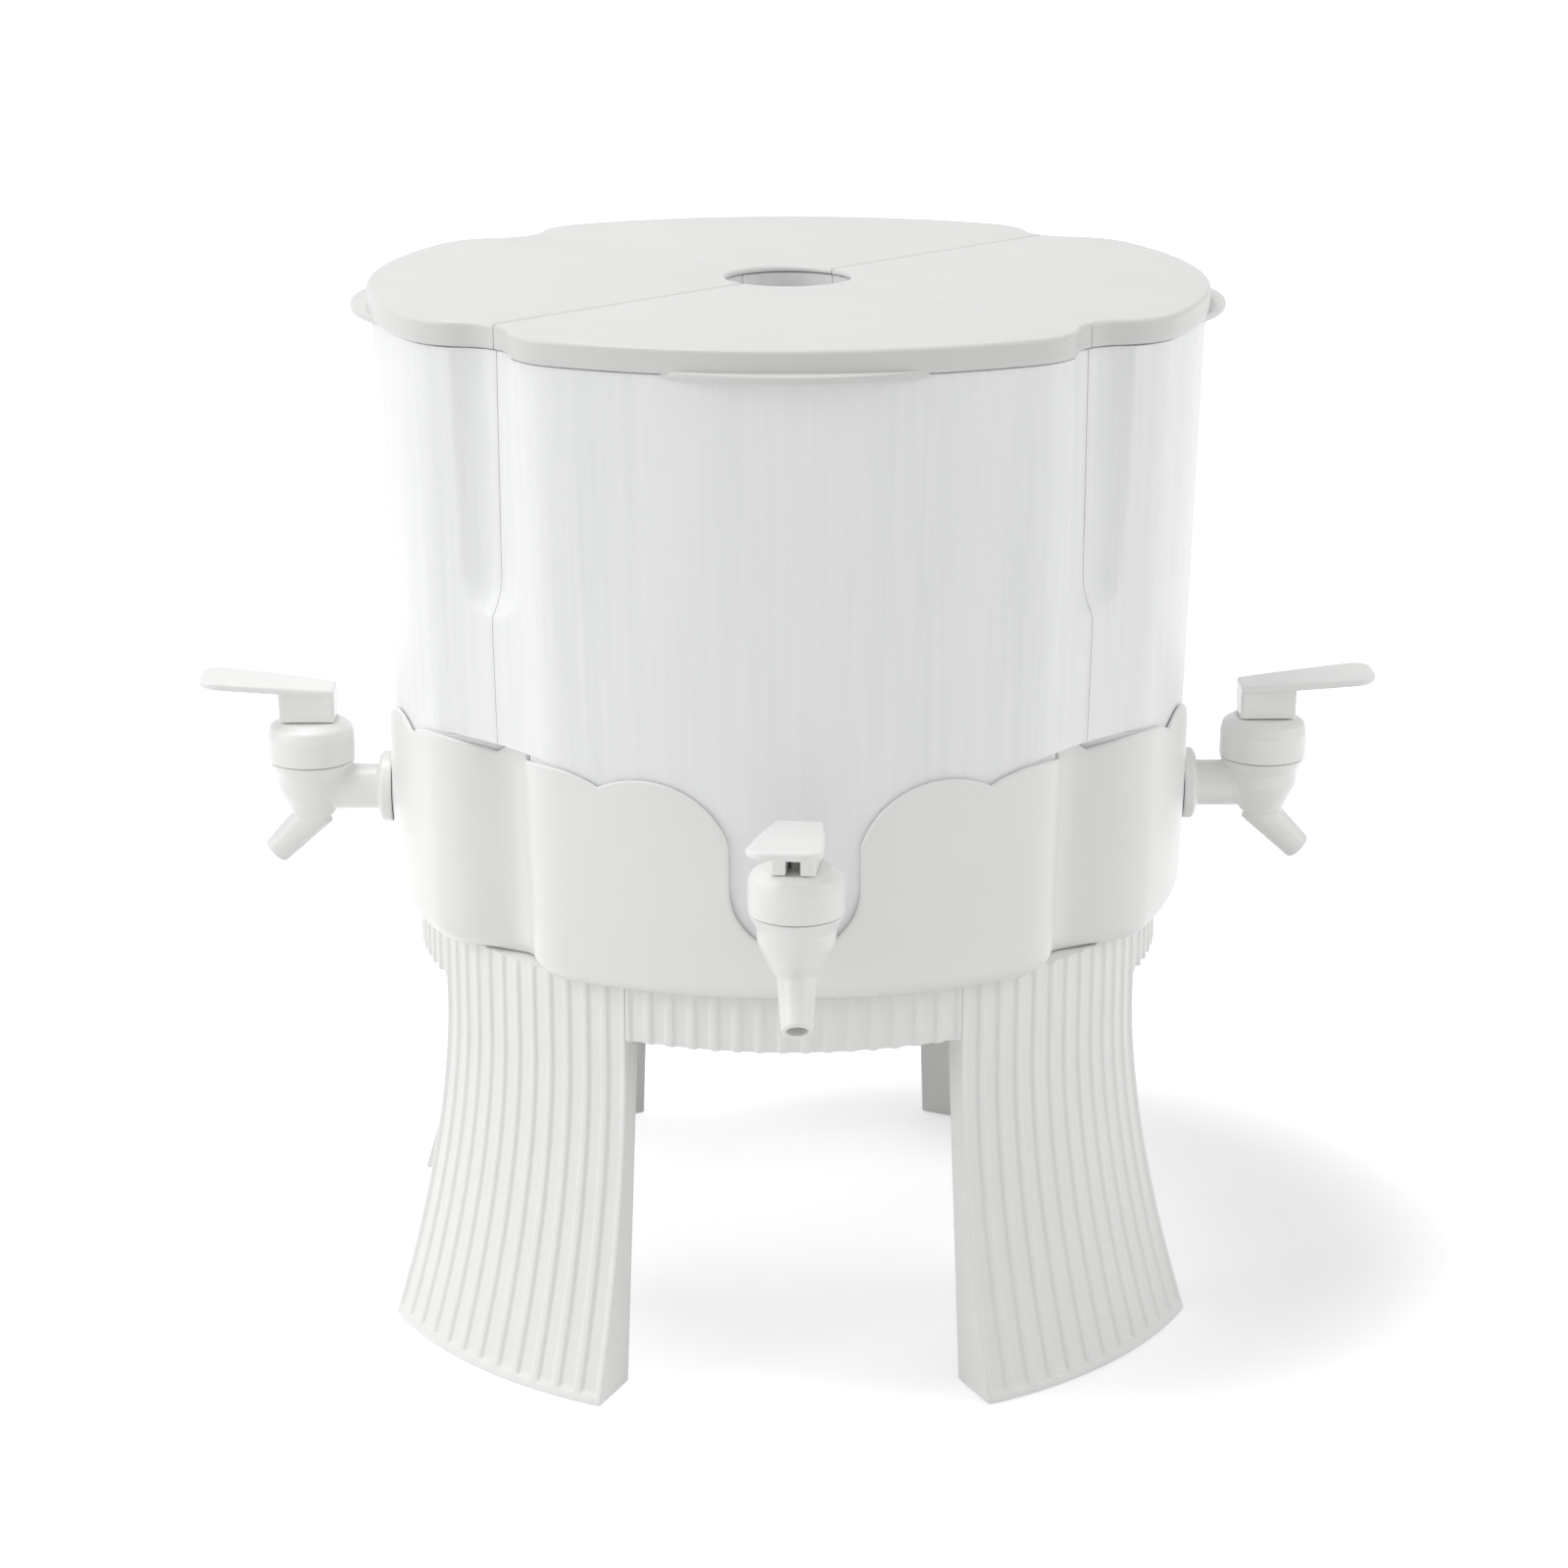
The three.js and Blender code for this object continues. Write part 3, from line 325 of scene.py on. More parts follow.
def moulded_abs(name="moulded_white_abs", tint="#EDEDEB", rough=0.36):
    """Injection-moulded ABS: clean white with a soft gloss, the faintest waviness and sink marks.

    The grain is drawn coarser than a mould's own, so that it shows."""
    material, tree, shader, place = new_material(name)
    grain = add_node(tree, "ShaderNodeTexNoise", [(place, "Vector")], Scale=per_mm(1.1), Detail=3.0, Roughness=0.55)
    waves = add_node(tree, "ShaderNodeTexNoise", [(place, "Vector")], Scale=per_mm(38), Detail=2.0, Roughness=0.5)
    dirt = add_node(tree, "ShaderNodeTexNoise", [(place, "Vector")], Scale=per_mm(60), Detail=4.0, Roughness=0.6)
    tone = add_node(tree, "ShaderNodeMix", [(dirt.outputs["Fac"], "Factor")], data_type="RGBA")
    tone.inputs[COLOUR_A].default_value = srgb(tint)
    tone.inputs[COLOUR_B].default_value = [SHADE * value for value in srgb(tint)[:3]] + [1.0]
    gloss = add_node(tree, "ShaderNodeMapRange", [(waves.outputs["Fac"], "Value")],
                     To_Min=rough - 0.05, To_Max=rough + 0.07)
    bump_fine = add_node(tree, "ShaderNodeBump", [(grain.outputs["Fac"], "Height")], Strength=0.06, Distance=0.0002)
    bump = add_node(tree, "ShaderNodeBump", [(waves.outputs["Fac"], "Height"), (bump_fine.outputs[0], "Normal")],
                    Strength=0.12, Distance=0.0008)
    tree.links.new(tone.outputs[MIXED_COLOUR], shader.inputs["Base Color"])
    tree.links.new(gloss.outputs[0], shader.inputs["Roughness"])
    tree.links.new(bump.outputs[0], shader.inputs["Normal"])
    set_node(shader, IOR=1.53)
    return material


def frosted_polypropylene():
    """Milky polypropylene, drawn out of its mould: light sinks in a little, and fine drag lines run down it.

    The lines are a few millimetres apart, coarser than the mould's finest, so that they show."""
    material, tree, shader, place = new_material("frosted_polypropylene")
    stretch = add_node(tree, "ShaderNodeMapping", [(place, "Vector")], Scale=(per_mm(3.2), per_mm(3.2), per_mm(140)))
    drag = add_node(tree, "ShaderNodeTexNoise", [(stretch.outputs[0], "Vector")],
                    Scale=1.0, Detail=3.0, Roughness=0.6)
    broad = add_node(tree, "ShaderNodeMapping", [(place, "Vector")], Scale=(per_mm(26), per_mm(26), per_mm(260)))
    bands = add_node(tree, "ShaderNodeTexNoise", [(broad.outputs[0], "Vector")], Scale=1.0, Detail=2.0, Roughness=0.5)
    both = add_node(tree, "ShaderNodeMath", [(drag.outputs["Fac"], 0), (bands.outputs["Fac"], 1)],
                    operation="MULTIPLY")
    tone = add_node(tree, "ShaderNodeMix", [(both.outputs[0], "Factor")], data_type="RGBA")
    tone.inputs[COLOUR_A].default_value = srgb("#FAFBFA")
    tone.inputs[COLOUR_B].default_value = srgb("#E0E3E3")
    bump = add_node(tree, "ShaderNodeBump", [(drag.outputs["Fac"], "Height")], Strength=0.3, Distance=0.0005)
    tree.links.new(tone.outputs[MIXED_COLOUR], shader.inputs["Base Color"])
    tree.links.new(bump.outputs[0], shader.inputs["Normal"])
    set_node(shader, Roughness=0.42, IOR=1.49, Subsurface_Weight=0.25, Subsurface_Radius=(1.0, 0.95, 0.9),
             Subsurface_Scale=0.004)
    return material


def fine_grained(name, tint, size, relief, rough, ior):
    """A plain plastic or rubber of one colour, with grain of a size in millimetres."""
    material, tree, shader, place = new_material(name)
    grain = add_node(tree, "ShaderNodeTexNoise", [(place, "Vector")], Scale=per_mm(size), Detail=2.0)
    bump = add_node(tree, "ShaderNodeBump", [(grain.outputs["Fac"], "Height")], Strength=relief, Distance=0.0002)
    tree.links.new(bump.outputs[0], shader.inputs["Normal"])
    set_node(shader, Base_Color=srgb(tint), Roughness=rough, IOR=ior)
    return material


def zinc_plated_steel():
    """Steel with bright zinc plating: pale grey metal, faintly clouded."""
    material, tree, shader, place = new_material("zinc_plated_steel")
    cloud = add_node(tree, "ShaderNodeTexNoise", [(place, "Vector")], Scale=per_mm(4), Detail=4.0, Roughness=0.6)
    rough = add_node(tree, "ShaderNodeMapRange", [(cloud.outputs["Fac"], "Value")], To_Min=0.24, To_Max=0.42)
    tree.links.new(rough.outputs[0], shader.inputs["Roughness"])
    set_node(shader, Base_Color=srgb("#C6C9CC"), Metallic=1.0)
    return material


abs_white = moulded_abs()
abs_lid = moulded_abs("moulded_lid_abs", LID_TINT)
abs_tap = moulded_abs("moulded_tap_abs", TAP_TINT, 0.3)
polypropylene = frosted_polypropylene()
steel = zinc_plated_steel()
# Moulded silicone rubber: off-white and matt, with a fine grain.
silicone = fine_grained("moulded_silicone", "#E4E6E6", 0.8, 0.1, 0.6, 1.41)
# Acetal bearing plastic: ivory white and slippery, with fine marks.
acetal = fine_grained("turned_acetal", "#EDEBE2", 1.5, 0.08, 0.32, 1.48)


# Tanks.

def seat_outline(z, off, extra=0.0):
    """The part of a tank that sits in the cradle. Off is the distance inside the outer face."""
    return quadrant(tank_inset(z) + off + extra, TANK["notch"] + off, TANK["beside"] + off, TANK["apex"] + off)


def web_outline(z, off):
    """The part above the cradle, whose corners are filled out by a web with the scoops in it."""
    full = quadrant(tank_inset(z) + off, TANK["web"] + off, TANK["beside"] + off, TANK["apex"] + off)
    return scooped(full, z, off)


def rim_outline(z, off, extra=0.0):
    """The stepped rim under the lid."""
    inset = tank_inset(z) + off + extra
    return quadrant(inset, LID["notch"] + inset, TANK["beside"] + off, TANK["apex"] + off)


def mixed(a, b, share):
    """The outline that lies this share of the way from a to b."""
    return a + (b - a) * share


def rounded_edge(radius, count):
    """Rises and extra insets that round the lower edge of a wall, from the floor up."""
    turns = np.linspace(0, math.pi / 2, count + 1)
    return [(radius * (1 - math.cos(t)), radius * (1 - math.sin(t))) for t in turns]


def tank_part():
    """A drafted quarter shell: outside from the floor up, over the rim, and down the inside."""
    wall, shelf, rim, top = TANK["wall"], TANK["shelf"], TANK["rim"], TANK["top"]
    foot = TANK["scoop_foot"]
    rings = [at_level(seat_outline(TANK["bottom"] + rise, 0, extra), TANK["bottom"] + rise)
             for rise, extra in rounded_edge(TANK["round"], 8)]
    rings += [at_level(seat_outline(z, 0), z) for z in np.linspace(TANK["straight"], shelf - 0.3, 8)]
    for share, rise in ((0, 0), (0.93, 0.05), (0.98, 0.3), (1, 1.0)):
        z = shelf + rise
        rings.append(at_level(mixed(seat_outline(z, 0), web_outline(z, 0), share), z))
    scoop_levels = list(np.linspace(foot - TANK["scoop"] + 0.2, foot - 8, 16)) + [foot - 4, foot]
    web_levels = [222, 232, 241] + scoop_levels + list(np.linspace(276, rim - 1.0, 8))
    rings += [at_level(web_outline(z, 0), z) for z in web_levels]
    rings += [at_level(mixed(web_outline(rim, 0), rim_outline(rim, 0, TANK["step"]), share), rim + rise)
              for share, rise in ((0, -0.35), (0.03, -0.12), (0.1, 0), (1, 0))]
    rings += [at_level(rim_outline(z, 0, TANK["step"] + extra), z)
              for z, extra in ((rim + 1, 0), (top - 0.5, 0), (top - 0.15, 0.15), (top, 0.5))]
    rings += [at_level(rim_outline(z, wall, -extra), z)
              for z, extra in ((top, 0.5), (top - 0.15, 0.15), (top - 0.5, 0), (rim - wall, 0))]
    inside_levels = [z for z in web_levels[::-1] if shelf + wall + 1 < z - wall < rim - wall - 0.5]
    rings += [at_level(web_outline(z, wall), z) for z in [rim - wall - 0.4] + [z - wall for z in inside_levels]]
    rings.append(at_level(web_outline(shelf + wall + 0.3, wall), shelf + wall + 0.3))
    rings += [at_level(seat_outline(z, wall), z) for z in np.linspace(shelf + wall, TANK["straight"], 6)]
    low = TANK["bottom"] + TANK["floor"]
    rings += [at_level(seat_outline(low + rise, wall, extra), low + rise)
              for rise, extra in rounded_edge(TANK["round"] - wall, 6)[::-1]]
    turns = np.linspace(0, 2 * math.pi, 64, endpoint=False)

    def pad_ring(inset, along):
        radius = TANK["pad"] - inset
        return np.column_stack([radius * np.cos(turns), np.full(len(turns), along),
                                TAP["level"] + radius * np.sin(turns)])

    pad = skin([pad_ring(inset, along) for inset, along in (
        (0, TANK["pad_in"]), (0, TANK["pad_out"] - 0.4), (0.15, TANK["pad_out"] - 0.1), (0.5, TANK["pad_out"]))])
    return merge(skin(rings), pad)


# Lids.

def lid_part():
    """A plate with a rim on its outer side only, a plug rib below and a crescent pull tab at the tip."""
    top, bottom, edge = LID["top"], LID["bottom"], LID["edge"]
    under = top - LID["plate"]

    def ring(inset, z_outer, z_flank=None):
        """One outline, whose flanks lie at a level of their own where the rim doesn't reach them."""
        outline = quadrant(inset, LID["notch"] + inset, LID["beside"] + inset, LID["apex"] + inset, lip=LID["rim"])
        z = np.full(len(outline), float(z_outer))
        if z_flank is not None:
            z[OUTER_COUNT:] = z_flank
        return at_level(outline, z)

    rings = [ring(LID["rim"], under), ring(LID["rim"], bottom + 0.3, under), ring(LID["rim"] - 0.3, bottom, under),
             ring(0.5, bottom, under), ring(0.15, bottom + 0.15, under + 0.1), ring(0, bottom + 0.5, under + 0.3)]
    rings += [ring(0, z, max(z, under + 0.4)) for z in (343, 345, 347.4)]
    rings += [ring(extra, top - rise) for rise, extra in rounded_edge(edge, 6)[::-1]]
    shell = skin(rings)

    def plug(off, z):
        return at_level(rim_outline(LID["plug_foot"], LID["plug_in"] + off), z)

    foot, wall = LID["plug_foot"], LID["plug_wall"]
    rib = [plug(0, under + 0.5), plug(0, foot + 0.3), plug(0.3, foot), plug(wall - 0.3, foot),
           plug(wall, foot + 0.3), plug(wall, under + 0.5)]
    return merge(shell, skin(rib + rib[:1], caps=False), tab_part())


def tab_part():
    """The crescent between a wide arc at the tank and a tighter one outside it."""
    root, half = ARC - LID["tab_root"], LID["tab_half"]
    rise = LID["tab_out"] + ARC - math.sqrt(ARC ** 2 - half ** 2)
    radius = (half ** 2 + rise ** 2) / (2 * rise)
    middle = TIP + LID["tab_out"] - radius
    apart = middle - ARC_CENTRE

    def ring(inset, z):
        r, r0 = radius - inset, root + inset
        along = (r0 ** 2 - r ** 2 + apart ** 2) / (2 * apart)
        a0, a1 = math.acos(along / r0), math.acos((along - apart) / r)
        outer = arc(0, middle, r, math.pi / 2 - a1, math.pi / 2 + a1, 49)
        inner = arc(0, ARC_CENTRE, r0, math.pi / 2 + a0, math.pi / 2 - a0, 25)[1:-1]
        return at_level(np.concatenate([outer, inner]), z)

    low, high = LID["tab_low"], LID["tab_high"]
    return skin([ring(0.6, low), ring(0.18, low + 0.18), ring(0, low + 0.6), ring(0, high - 0.6),
                 ring(0.18, high - 0.18), ring(0.6, high)])


# Cradle.

CRADLE_ROUND = 130.0  # radius that turns azimuth into millimetres along the crown
CROWN_LEVEL = 195.0  # level at which the crown's shape is measured along the wall
TABLE_LEVEL = 190.0  # level at which the wall's table of reaches starts
BELT = 155.0  # level where the crowned wall meets the rounded floor
BELT_STEPS = 68
GRID = 3.0  # spacing of the points inside the wall's face
GRID_CLEAR = 1.4  # the least distance from there to the border
ROUND_STEPS = 8  # across the rounded crown edge
NOTCH_START, NOTCH_SPAN, NOTCH_LESS = 37.0, 6.0, 0.85  # where the floor's round shrinks, in degrees, and how much


def cradle_inset(z):
    """How far the cradle's outer face lies inside the lid's outline: less than nothing, since it is outside."""
    return tank_inset(z) - CRADLE["gap"] - CRADLE["wall"]


def cradle_reach(azimuth, inset, notch):
    """Distance of the cloverleaf outline from the axis, at azimuths measured from a petal's axis."""
    side = petal_side(inset, notch, 0.0, fine=3)
    angles = np.arctan2(side[:, 0], side[:, 1])
    reach = np.hypot(side[:, 0], side[:, 1])
    order = np.argsort(angles)
    return np.interp(azimuth, angles[order], reach[order])


class CradleWall:
    """Maps (millimetres along the crown, level, depth into the wall) to points of the cradle."""

    ROWS, COLUMNS = 60, 400
    ALMOST = 0.001  # keeps the last place of the table just inside it
    FILLET = 6.0  # how far the notch's round still grows behind the wall's inner face

    def __init__(self):
        self.insets = np.linspace(-3.0, 12.0, self.ROWS + 1)
        azimuths = np.linspace(0, EIGHTH, self.COLUMNS + 1)
        table = []
        for inset in self.insets:
            depth = min(max(inset - cradle_inset(TABLE_LEVEL), 0), CRADLE["wall"] + self.FILLET)
            table.append(cradle_reach(azimuths, inset, CRADLE["notch"] + depth))
        self.table = np.array(table)

    def reach(self, azimuth, inset):
        """Distance from the axis, between the table's rows and columns."""
        row = (np.asarray(inset) - self.insets[0]) / (self.insets[1] - self.insets[0])
        row = np.clip(row, 0, self.ROWS - self.ALMOST)
        col = np.clip(np.asarray(azimuth) / EIGHTH * self.COLUMNS, 0, self.COLUMNS - self.ALMOST)
        r, c = row.astype(int), col.astype(int)
        fr, fc = row - r, col - c
        t = self.table
        return ((t[r, c] * (1 - fr) + t[r + 1, c] * fr) * (1 - fc)
                + (t[r, c + 1] * (1 - fr) + t[r + 1, c + 1] * fr) * fc)

    def place(self, along, z, depth):
        """Points at these places along the crown, levels and depths."""
        along, z, depth = np.broadcast_arrays(np.asarray(along, float), np.asarray(z, float),
                                              np.asarray(depth, float))
        azimuth = along / CRADLE_ROUND
        reach = self.reach(azimuth, cradle_inset(z) + depth)
        return np.column_stack([reach * np.sin(azimuth), reach * np.cos(azimuth), z])


def crown_curve():
    """Half of one petal's crown, from the middle of the tap slot to the middle of the notch."""
    c = CRADLE
    inset = cradle_inset(CROWN_LEVEL)

    def along_of(across):
        out = ARC_CENTRE + math.sqrt((ARC - inset) ** 2 - across ** 2)
        return math.atan2(across, out) * CRADLE_ROUND

    pts = [(along_of(c["slot"] * math.cos(t)), c["slot_centre"] + c["slot"] * math.sin(t))
           for t in np.linspace(-math.pi / 2, 0, 26)]
    start = math.pi - math.acos((c["bump_at"] - c["slot"]) / c["bump"])
    joint_z = c["bump_z"] + c["bump"] * math.sin(start)
    pts += [(along_of(c["slot"]), z) for z in np.linspace(c["slot_centre"], joint_z, 12)[1:-1]]
    fall = math.asin((c["dip"] - c["bump_z"]) / c["bump"])
    pts += [(along_of(c["bump_at"] + c["bump"] * math.cos(t)), c["bump_z"] + c["bump"] * math.sin(t))
            for t in np.linspace(start, fall, 44)]
    first = pts[-1][0] / CRADLE_ROUND / DEGREE
    near = 45 - c["lobe_angle"]
    for t in np.linspace(-1, 1, 30)[1:]:
        angle = (first + near) / 2 + (near - first) / 2 * t
        pts.append((angle * DEGREE * CRADLE_ROUND, c["dip"] + c["corner_lobe"] * (1 - t * t)))
    for t in np.linspace(-1, 0, 8)[1:]:
        pts.append(((45 + c["lobe_angle"] * t) * DEGREE * CRADLE_ROUND, c["dip"] + c["notch_lobe"] * (1 - t * t)))
    return np.array([(float(a), float(b)) for a, b in pts])


def cradle_half_wall(wall):
    """One eighth of the cradle's wall above the belt: both faces and the rounded crown edge between them."""
    crown = crown_curve()
    step = np.gradient(crown, axis=0)
    step /= np.linalg.norm(step, axis=1)[:, None]
    normal = np.column_stack([step[:, 1], -step[:, 0]])
    normal[0], normal[-1] = (0, -1), (0, -1)
    edge = CRADLE["wall"] / 2
    inner = crown + normal * edge
    end = EIGHTH * CRADLE_ROUND
    inner[0, 0], inner[-1, 0] = 0, end
    belt = np.column_stack([np.linspace(0, end, BELT_STEPS + 1), np.full(BELT_STEPS + 1, BELT)])
    left = [(0, z) for z in np.linspace(inner[0, 1], BELT, 3)[1:-1]]
    right = [(end, z) for z in np.linspace(BELT, inner[-1, 1], 20)[1:-1]]
    border = np.concatenate([inner[::-1], np.array(left).reshape(-1, 2), belt, np.array(right)])
    inside = []
    for z in np.arange(BELT + GRID, CRADLE["dip"] + CRADLE["corner_lobe"] + 1, GRID):
        for x in np.arange(GRID / 2, end, GRID):
            if np.min(np.hypot(border[:, 0] - x, border[:, 1] - z)) > GRID_CLEAR:
                inside.append((x, z))
    flat = [Vector(p) for p in border.tolist() + inside]
    loop = list(range(len(border)))
    verts, _, tris, *_ = delaunay_2d_cdt(flat, [], [loop], 1, 1e-6)
    flat = np.array([tuple(v) for v in verts])
    count = len(flat)
    points = [wall.place(flat[:, 0], flat[:, 1], depth) for depth in (0, CRADLE["wall"])]
    faces = [tuple(t) for t in tris] + [tuple(i + count for i in t[::-1]) for t in tris]
    rows = []
    for k in range(ROUND_STEPS + 1):
        t = math.pi * k / ROUND_STEPS
        q = inner - normal * edge * math.sin(t)
        q[0, 0], q[-1, 0] = 0, end
        rows.append(wall.place(q[:, 0], q[:, 1], edge * (1 - math.cos(t))))
    start = 2 * count
    n = len(inner)
    points += rows
    for k in range(ROUND_STEPS):
        for i in range(n - 1):
            a = start + k * n + i
            faces.append((a, a + 1, a + 1 + n, a + n))
    return np.concatenate(points), faces


def cradle_part():
    """The whole cradle: eight mirrored eighths of crowned wall on a rounded floor with a hub."""
    wall = CradleWall()
    half = cradle_half_wall(wall)
    mirrored = half[0].copy()
    mirrored[:, 0] *= -1
    parts = []
    for quarter in range(4):
        for points, faces in (half, (mirrored, [f[::-1] for f in half[1]])):
            parts.append((turned(points, quarter * math.pi / 2), faces))
    along = np.linspace(0, EIGHTH * CRADLE_ROUND, BELT_STEPS + 1)
    near_notch = np.clip((along / CRADLE_ROUND / DEGREE - NOTCH_START) / NOTCH_SPAN, 0, 1)
    edge_share = 1 - NOTCH_LESS * eased(near_notch)

    def ring(z, depth, extra=0.0):
        side = wall.place(along, z, depth + extra * edge_share)
        back = side[1:][::-1].copy()
        back[:, 0] *= -1
        petal = np.concatenate([back, side[:-1]])
        return np.concatenate([turned(petal, -quarter * math.pi / 2) for quarter in range(4)])

    bottom, edge = CRADLE["bottom"], CRADLE["round"]
    rings = [ring(BELT, 0), ring(151.5, 0)]
    for k in range(10, -1, -1):
        t = math.pi / 2 * k / 10
        z = bottom + edge * (1 - math.cos(t))
        rings.append(ring(z, 0, edge * (1 - math.sin(t))))
    base = rings[-1]
    angle = np.arctan2(base[:, 1], base[:, 0])

    def circle(radius, z):
        return np.column_stack([radius * np.cos(angle), radius * np.sin(angle), np.full(len(angle), float(z))])

    c = CRADLE
    for radius, z in ((c["bore"], bottom), (c["bore"], c["hub_seat"]), (c["hub_room"], c["hub_seat"]),
                      (c["hub_room"], c["hub_top"] - 0.5), (c["hub_room"] + 0.5, c["hub_top"]),
                      (c["hub"] - 0.5, c["hub_top"]), (c["hub"], c["hub_top"] - 0.5),
                      (c["hub"], bottom + c["floor"])):
        rings.append(circle(radius, z))
    inner_edge = edge - c["wall"]
    for k in range(0, 9):
        t = math.pi / 2 * k / 8
        z = bottom + c["floor"] + inner_edge * (1 - math.cos(t))
        rings.append(ring(z, c["wall"], inner_edge * (1 - math.sin(t))))
    rings += [ring(151.5, c["wall"]), ring(BELT, c["wall"])]
    parts.append(skin(rings, caps=False))
    return merge(*parts)


# Stand.

# Where one flute's points lie, as shares of its pitch.
FLUTE = (0, 0.09, 0.13, 0.16, 0.19, 0.22, 0.26, 0.34, 0.5, 0.66, 0.74, 0.78, 0.81, 0.84, 0.87, 0.91)


def flute_depth(phase):
    """Narrow rounded ridges between wide shallow grooves."""
    p = np.minimum(np.mod(phase, 1), 1 - np.mod(phase, 1))
    return eased(np.clip((p - 0.1) / 0.16, 0, 1))


def leg_flare(z):
    """How far the leg has flared at a level: 1 at the floor, 0 where it runs straight."""
    return max(0.0, 1 - z / STAND["start"])


def leg_outer(z):
    return STAND["radius"] + STAND["flare"] * leg_flare(z) ** STAND["power"]


def leg_inner(z):
    return STAND["inner"] + STAND["inner_flare"] * leg_flare(z)


SECTOR_CORNER = 4  # steps round each corner of a sector


def sector_ring(z, outer, inner, half, flutes, depth, inset=0.0, edge=0.4):
    """Plan of a moulded sector, centred on +Y: fluted outside, flat flanks, round inside."""
    outer, inner = outer - inset, inner + inset
    pitch = 2 * half / flutes
    phases = [i + p for i in range(flutes) for p in FLUTE] + [flutes]
    angles = np.array(phases) * pitch - half
    trim = (STAND["seam"] + inset) / outer
    squeeze = (half - trim - edge / outer) / half
    angles = angles * squeeze
    radii = outer - depth * flute_depth(np.array(phases))
    front = np.column_stack([radii * np.sin(angles), radii * np.cos(angles)])
    corner = []
    for k in range(1, SECTOR_CORNER + 1):
        t = math.pi / 2 * k / SECTOR_CORNER
        r = outer - edge * (1 - math.cos(t))
        a = half - trim - edge * (1 - math.sin(t)) / outer
        corner.append((r * math.sin(a), r * math.cos(a)))
    side_angle_in = half - (STAND["seam"] + inset) / inner
    corner_in = []
    for k in range(SECTOR_CORNER):
        t = math.pi / 2 * k / SECTOR_CORNER
        r = inner + edge * (1 - math.sin(t))
        a = side_angle_in - edge * (1 - math.cos(t)) / inner
        corner_in.append((r * math.sin(a), r * math.cos(a)))
    across = side_angle_in - edge / inner
    back = np.linspace(across, -across, 25)
    back = np.column_stack([inner * np.sin(back), inner * np.cos(back)])
    right = np.array(corner + corner_in)
    left = right[::-1] * np.array([-1, 1])
    return at_level(np.concatenate([front, right, back, left]), z)


def leg_part():
    """A flared leg, open below, whose flutes fade out at the plain band round its foot."""
    half, top, deep = STAND["half"] * DEGREE, STAND["top"], STAND["skin"]
    fade_height = 1.2

    def outer_ring(z, inset=0.0):
        fade = min(max((z - STAND["band"]) / fade_height, 0), 1)
        depth = STAND["depth"] * eased(fade)
        return sector_ring(z, leg_outer(z), leg_inner(z), half, STAND["leg_flutes"], depth, inset)

    def pocket(z, inset=deep):
        return sector_ring(z, leg_outer(z) - STAND["depth"], leg_inner(z), half, STAND["leg_flutes"], 0.0, inset, 0.3)

    foot_levels = [1.2, 2.5, 2.8, 3.1, 3.4, 3.8, 5, 7]
    levels = foot_levels + list(np.linspace(10, STAND["start"], 34)) + [120, 130, top - 0.6]
    rings = [pocket(top - STAND["plate"])]
    rings += [pocket(z) for z in np.linspace(130, 6, 22)] + [pocket(0.4), pocket(0.0, deep - 0.3)]
    rings += [outer_ring(0.0, 0.5), outer_ring(0.15, 0.15), outer_ring(0.5, 0.0)]
    rings += [outer_ring(z) for z in levels]
    rings += [outer_ring(top - 0.2, 0.15), outer_ring(top, 0.5)]
    return skin(rings)


def ring_segment_part():
    """The fluted band of the stand between two legs, open below."""
    half = (45 - STAND["half"]) * DEGREE
    wall_outer = STAND["inner"] - 0.3
    flutes, deep = STAND["ring_flutes"], STAND["skin"]

    def outer_ring(z, inset=0.0):
        return sector_ring(z, STAND["radius"], wall_outer - 1.2, half, flutes, STAND["depth"], inset)

    def pocket(z, inset):
        return sector_ring(z, STAND["radius"] - STAND["depth"], wall_outer - inset, half, flutes, 0.0, inset, 0.3)

    bottom, top = STAND["ring_bottom"], STAND["top"]
    rings = [pocket(top - STAND["plate"], deep), pocket(bottom + 0.4, deep), pocket(bottom, deep - 0.3),
             outer_ring(bottom, 0.5), outer_ring(bottom + 0.15, 0.15), outer_ring(bottom + 0.5)]
    rings += [outer_ring(z) for z in (126, 132, top - 0.6)]
    rings += [outer_ring(top - 0.2, 0.15), outer_ring(top, 0.5)]
    return skin(rings)


def stand_ring_part():
    """Hub, deck with the ball track, inner wall, ribs and the fluted bands between the legs."""
    outer, top, bottom = STAND["inner"] - 0.3, STAND["top"], STAND["ring_bottom"]
    inner, deck, low = outer - STAND["ring_wall"], STAND["deck"], STAND["deck"] - STAND["deck_wall"]
    track, bore, hub = STAND["track"], STAND["bore"], STAND["hub"]
    foot, head = STAND["hub_bottom"], STAND["hub_top"]
    profile = [(bore, head), (bore, foot), (hub, foot), (hub, low), (inner, low), (inner, bottom),
               (outer, bottom), (outer, top), (inner, top), (inner, deck),
               (track + 1.6, deck), (track + 1.6, deck + 1.2), (track, deck + 1.2), (track, deck), (hub, deck),
               (hub, head), (bore, head)]
    radii = [0, 0.4, 0.6, 1.0, 0.8, 0.4, 0.4, 0.4, 0.4, 0.6, 0.3, 0.3, 0.3, 0.3, 0.8, 0.4, 0]
    rings = spun(rounded(profile, radii, 4), 192)
    parts = [skin(rings, caps=False)]
    rib = block_part((-1, 10, bottom), (1, inner + 1.2, low + 1.2), 0.3)
    for points, faces in (ring_segment_part(), rib):
        parts += [(turned(points, quarter * math.pi / 2), faces) for quarter in range(4)]
    return merge(*parts)


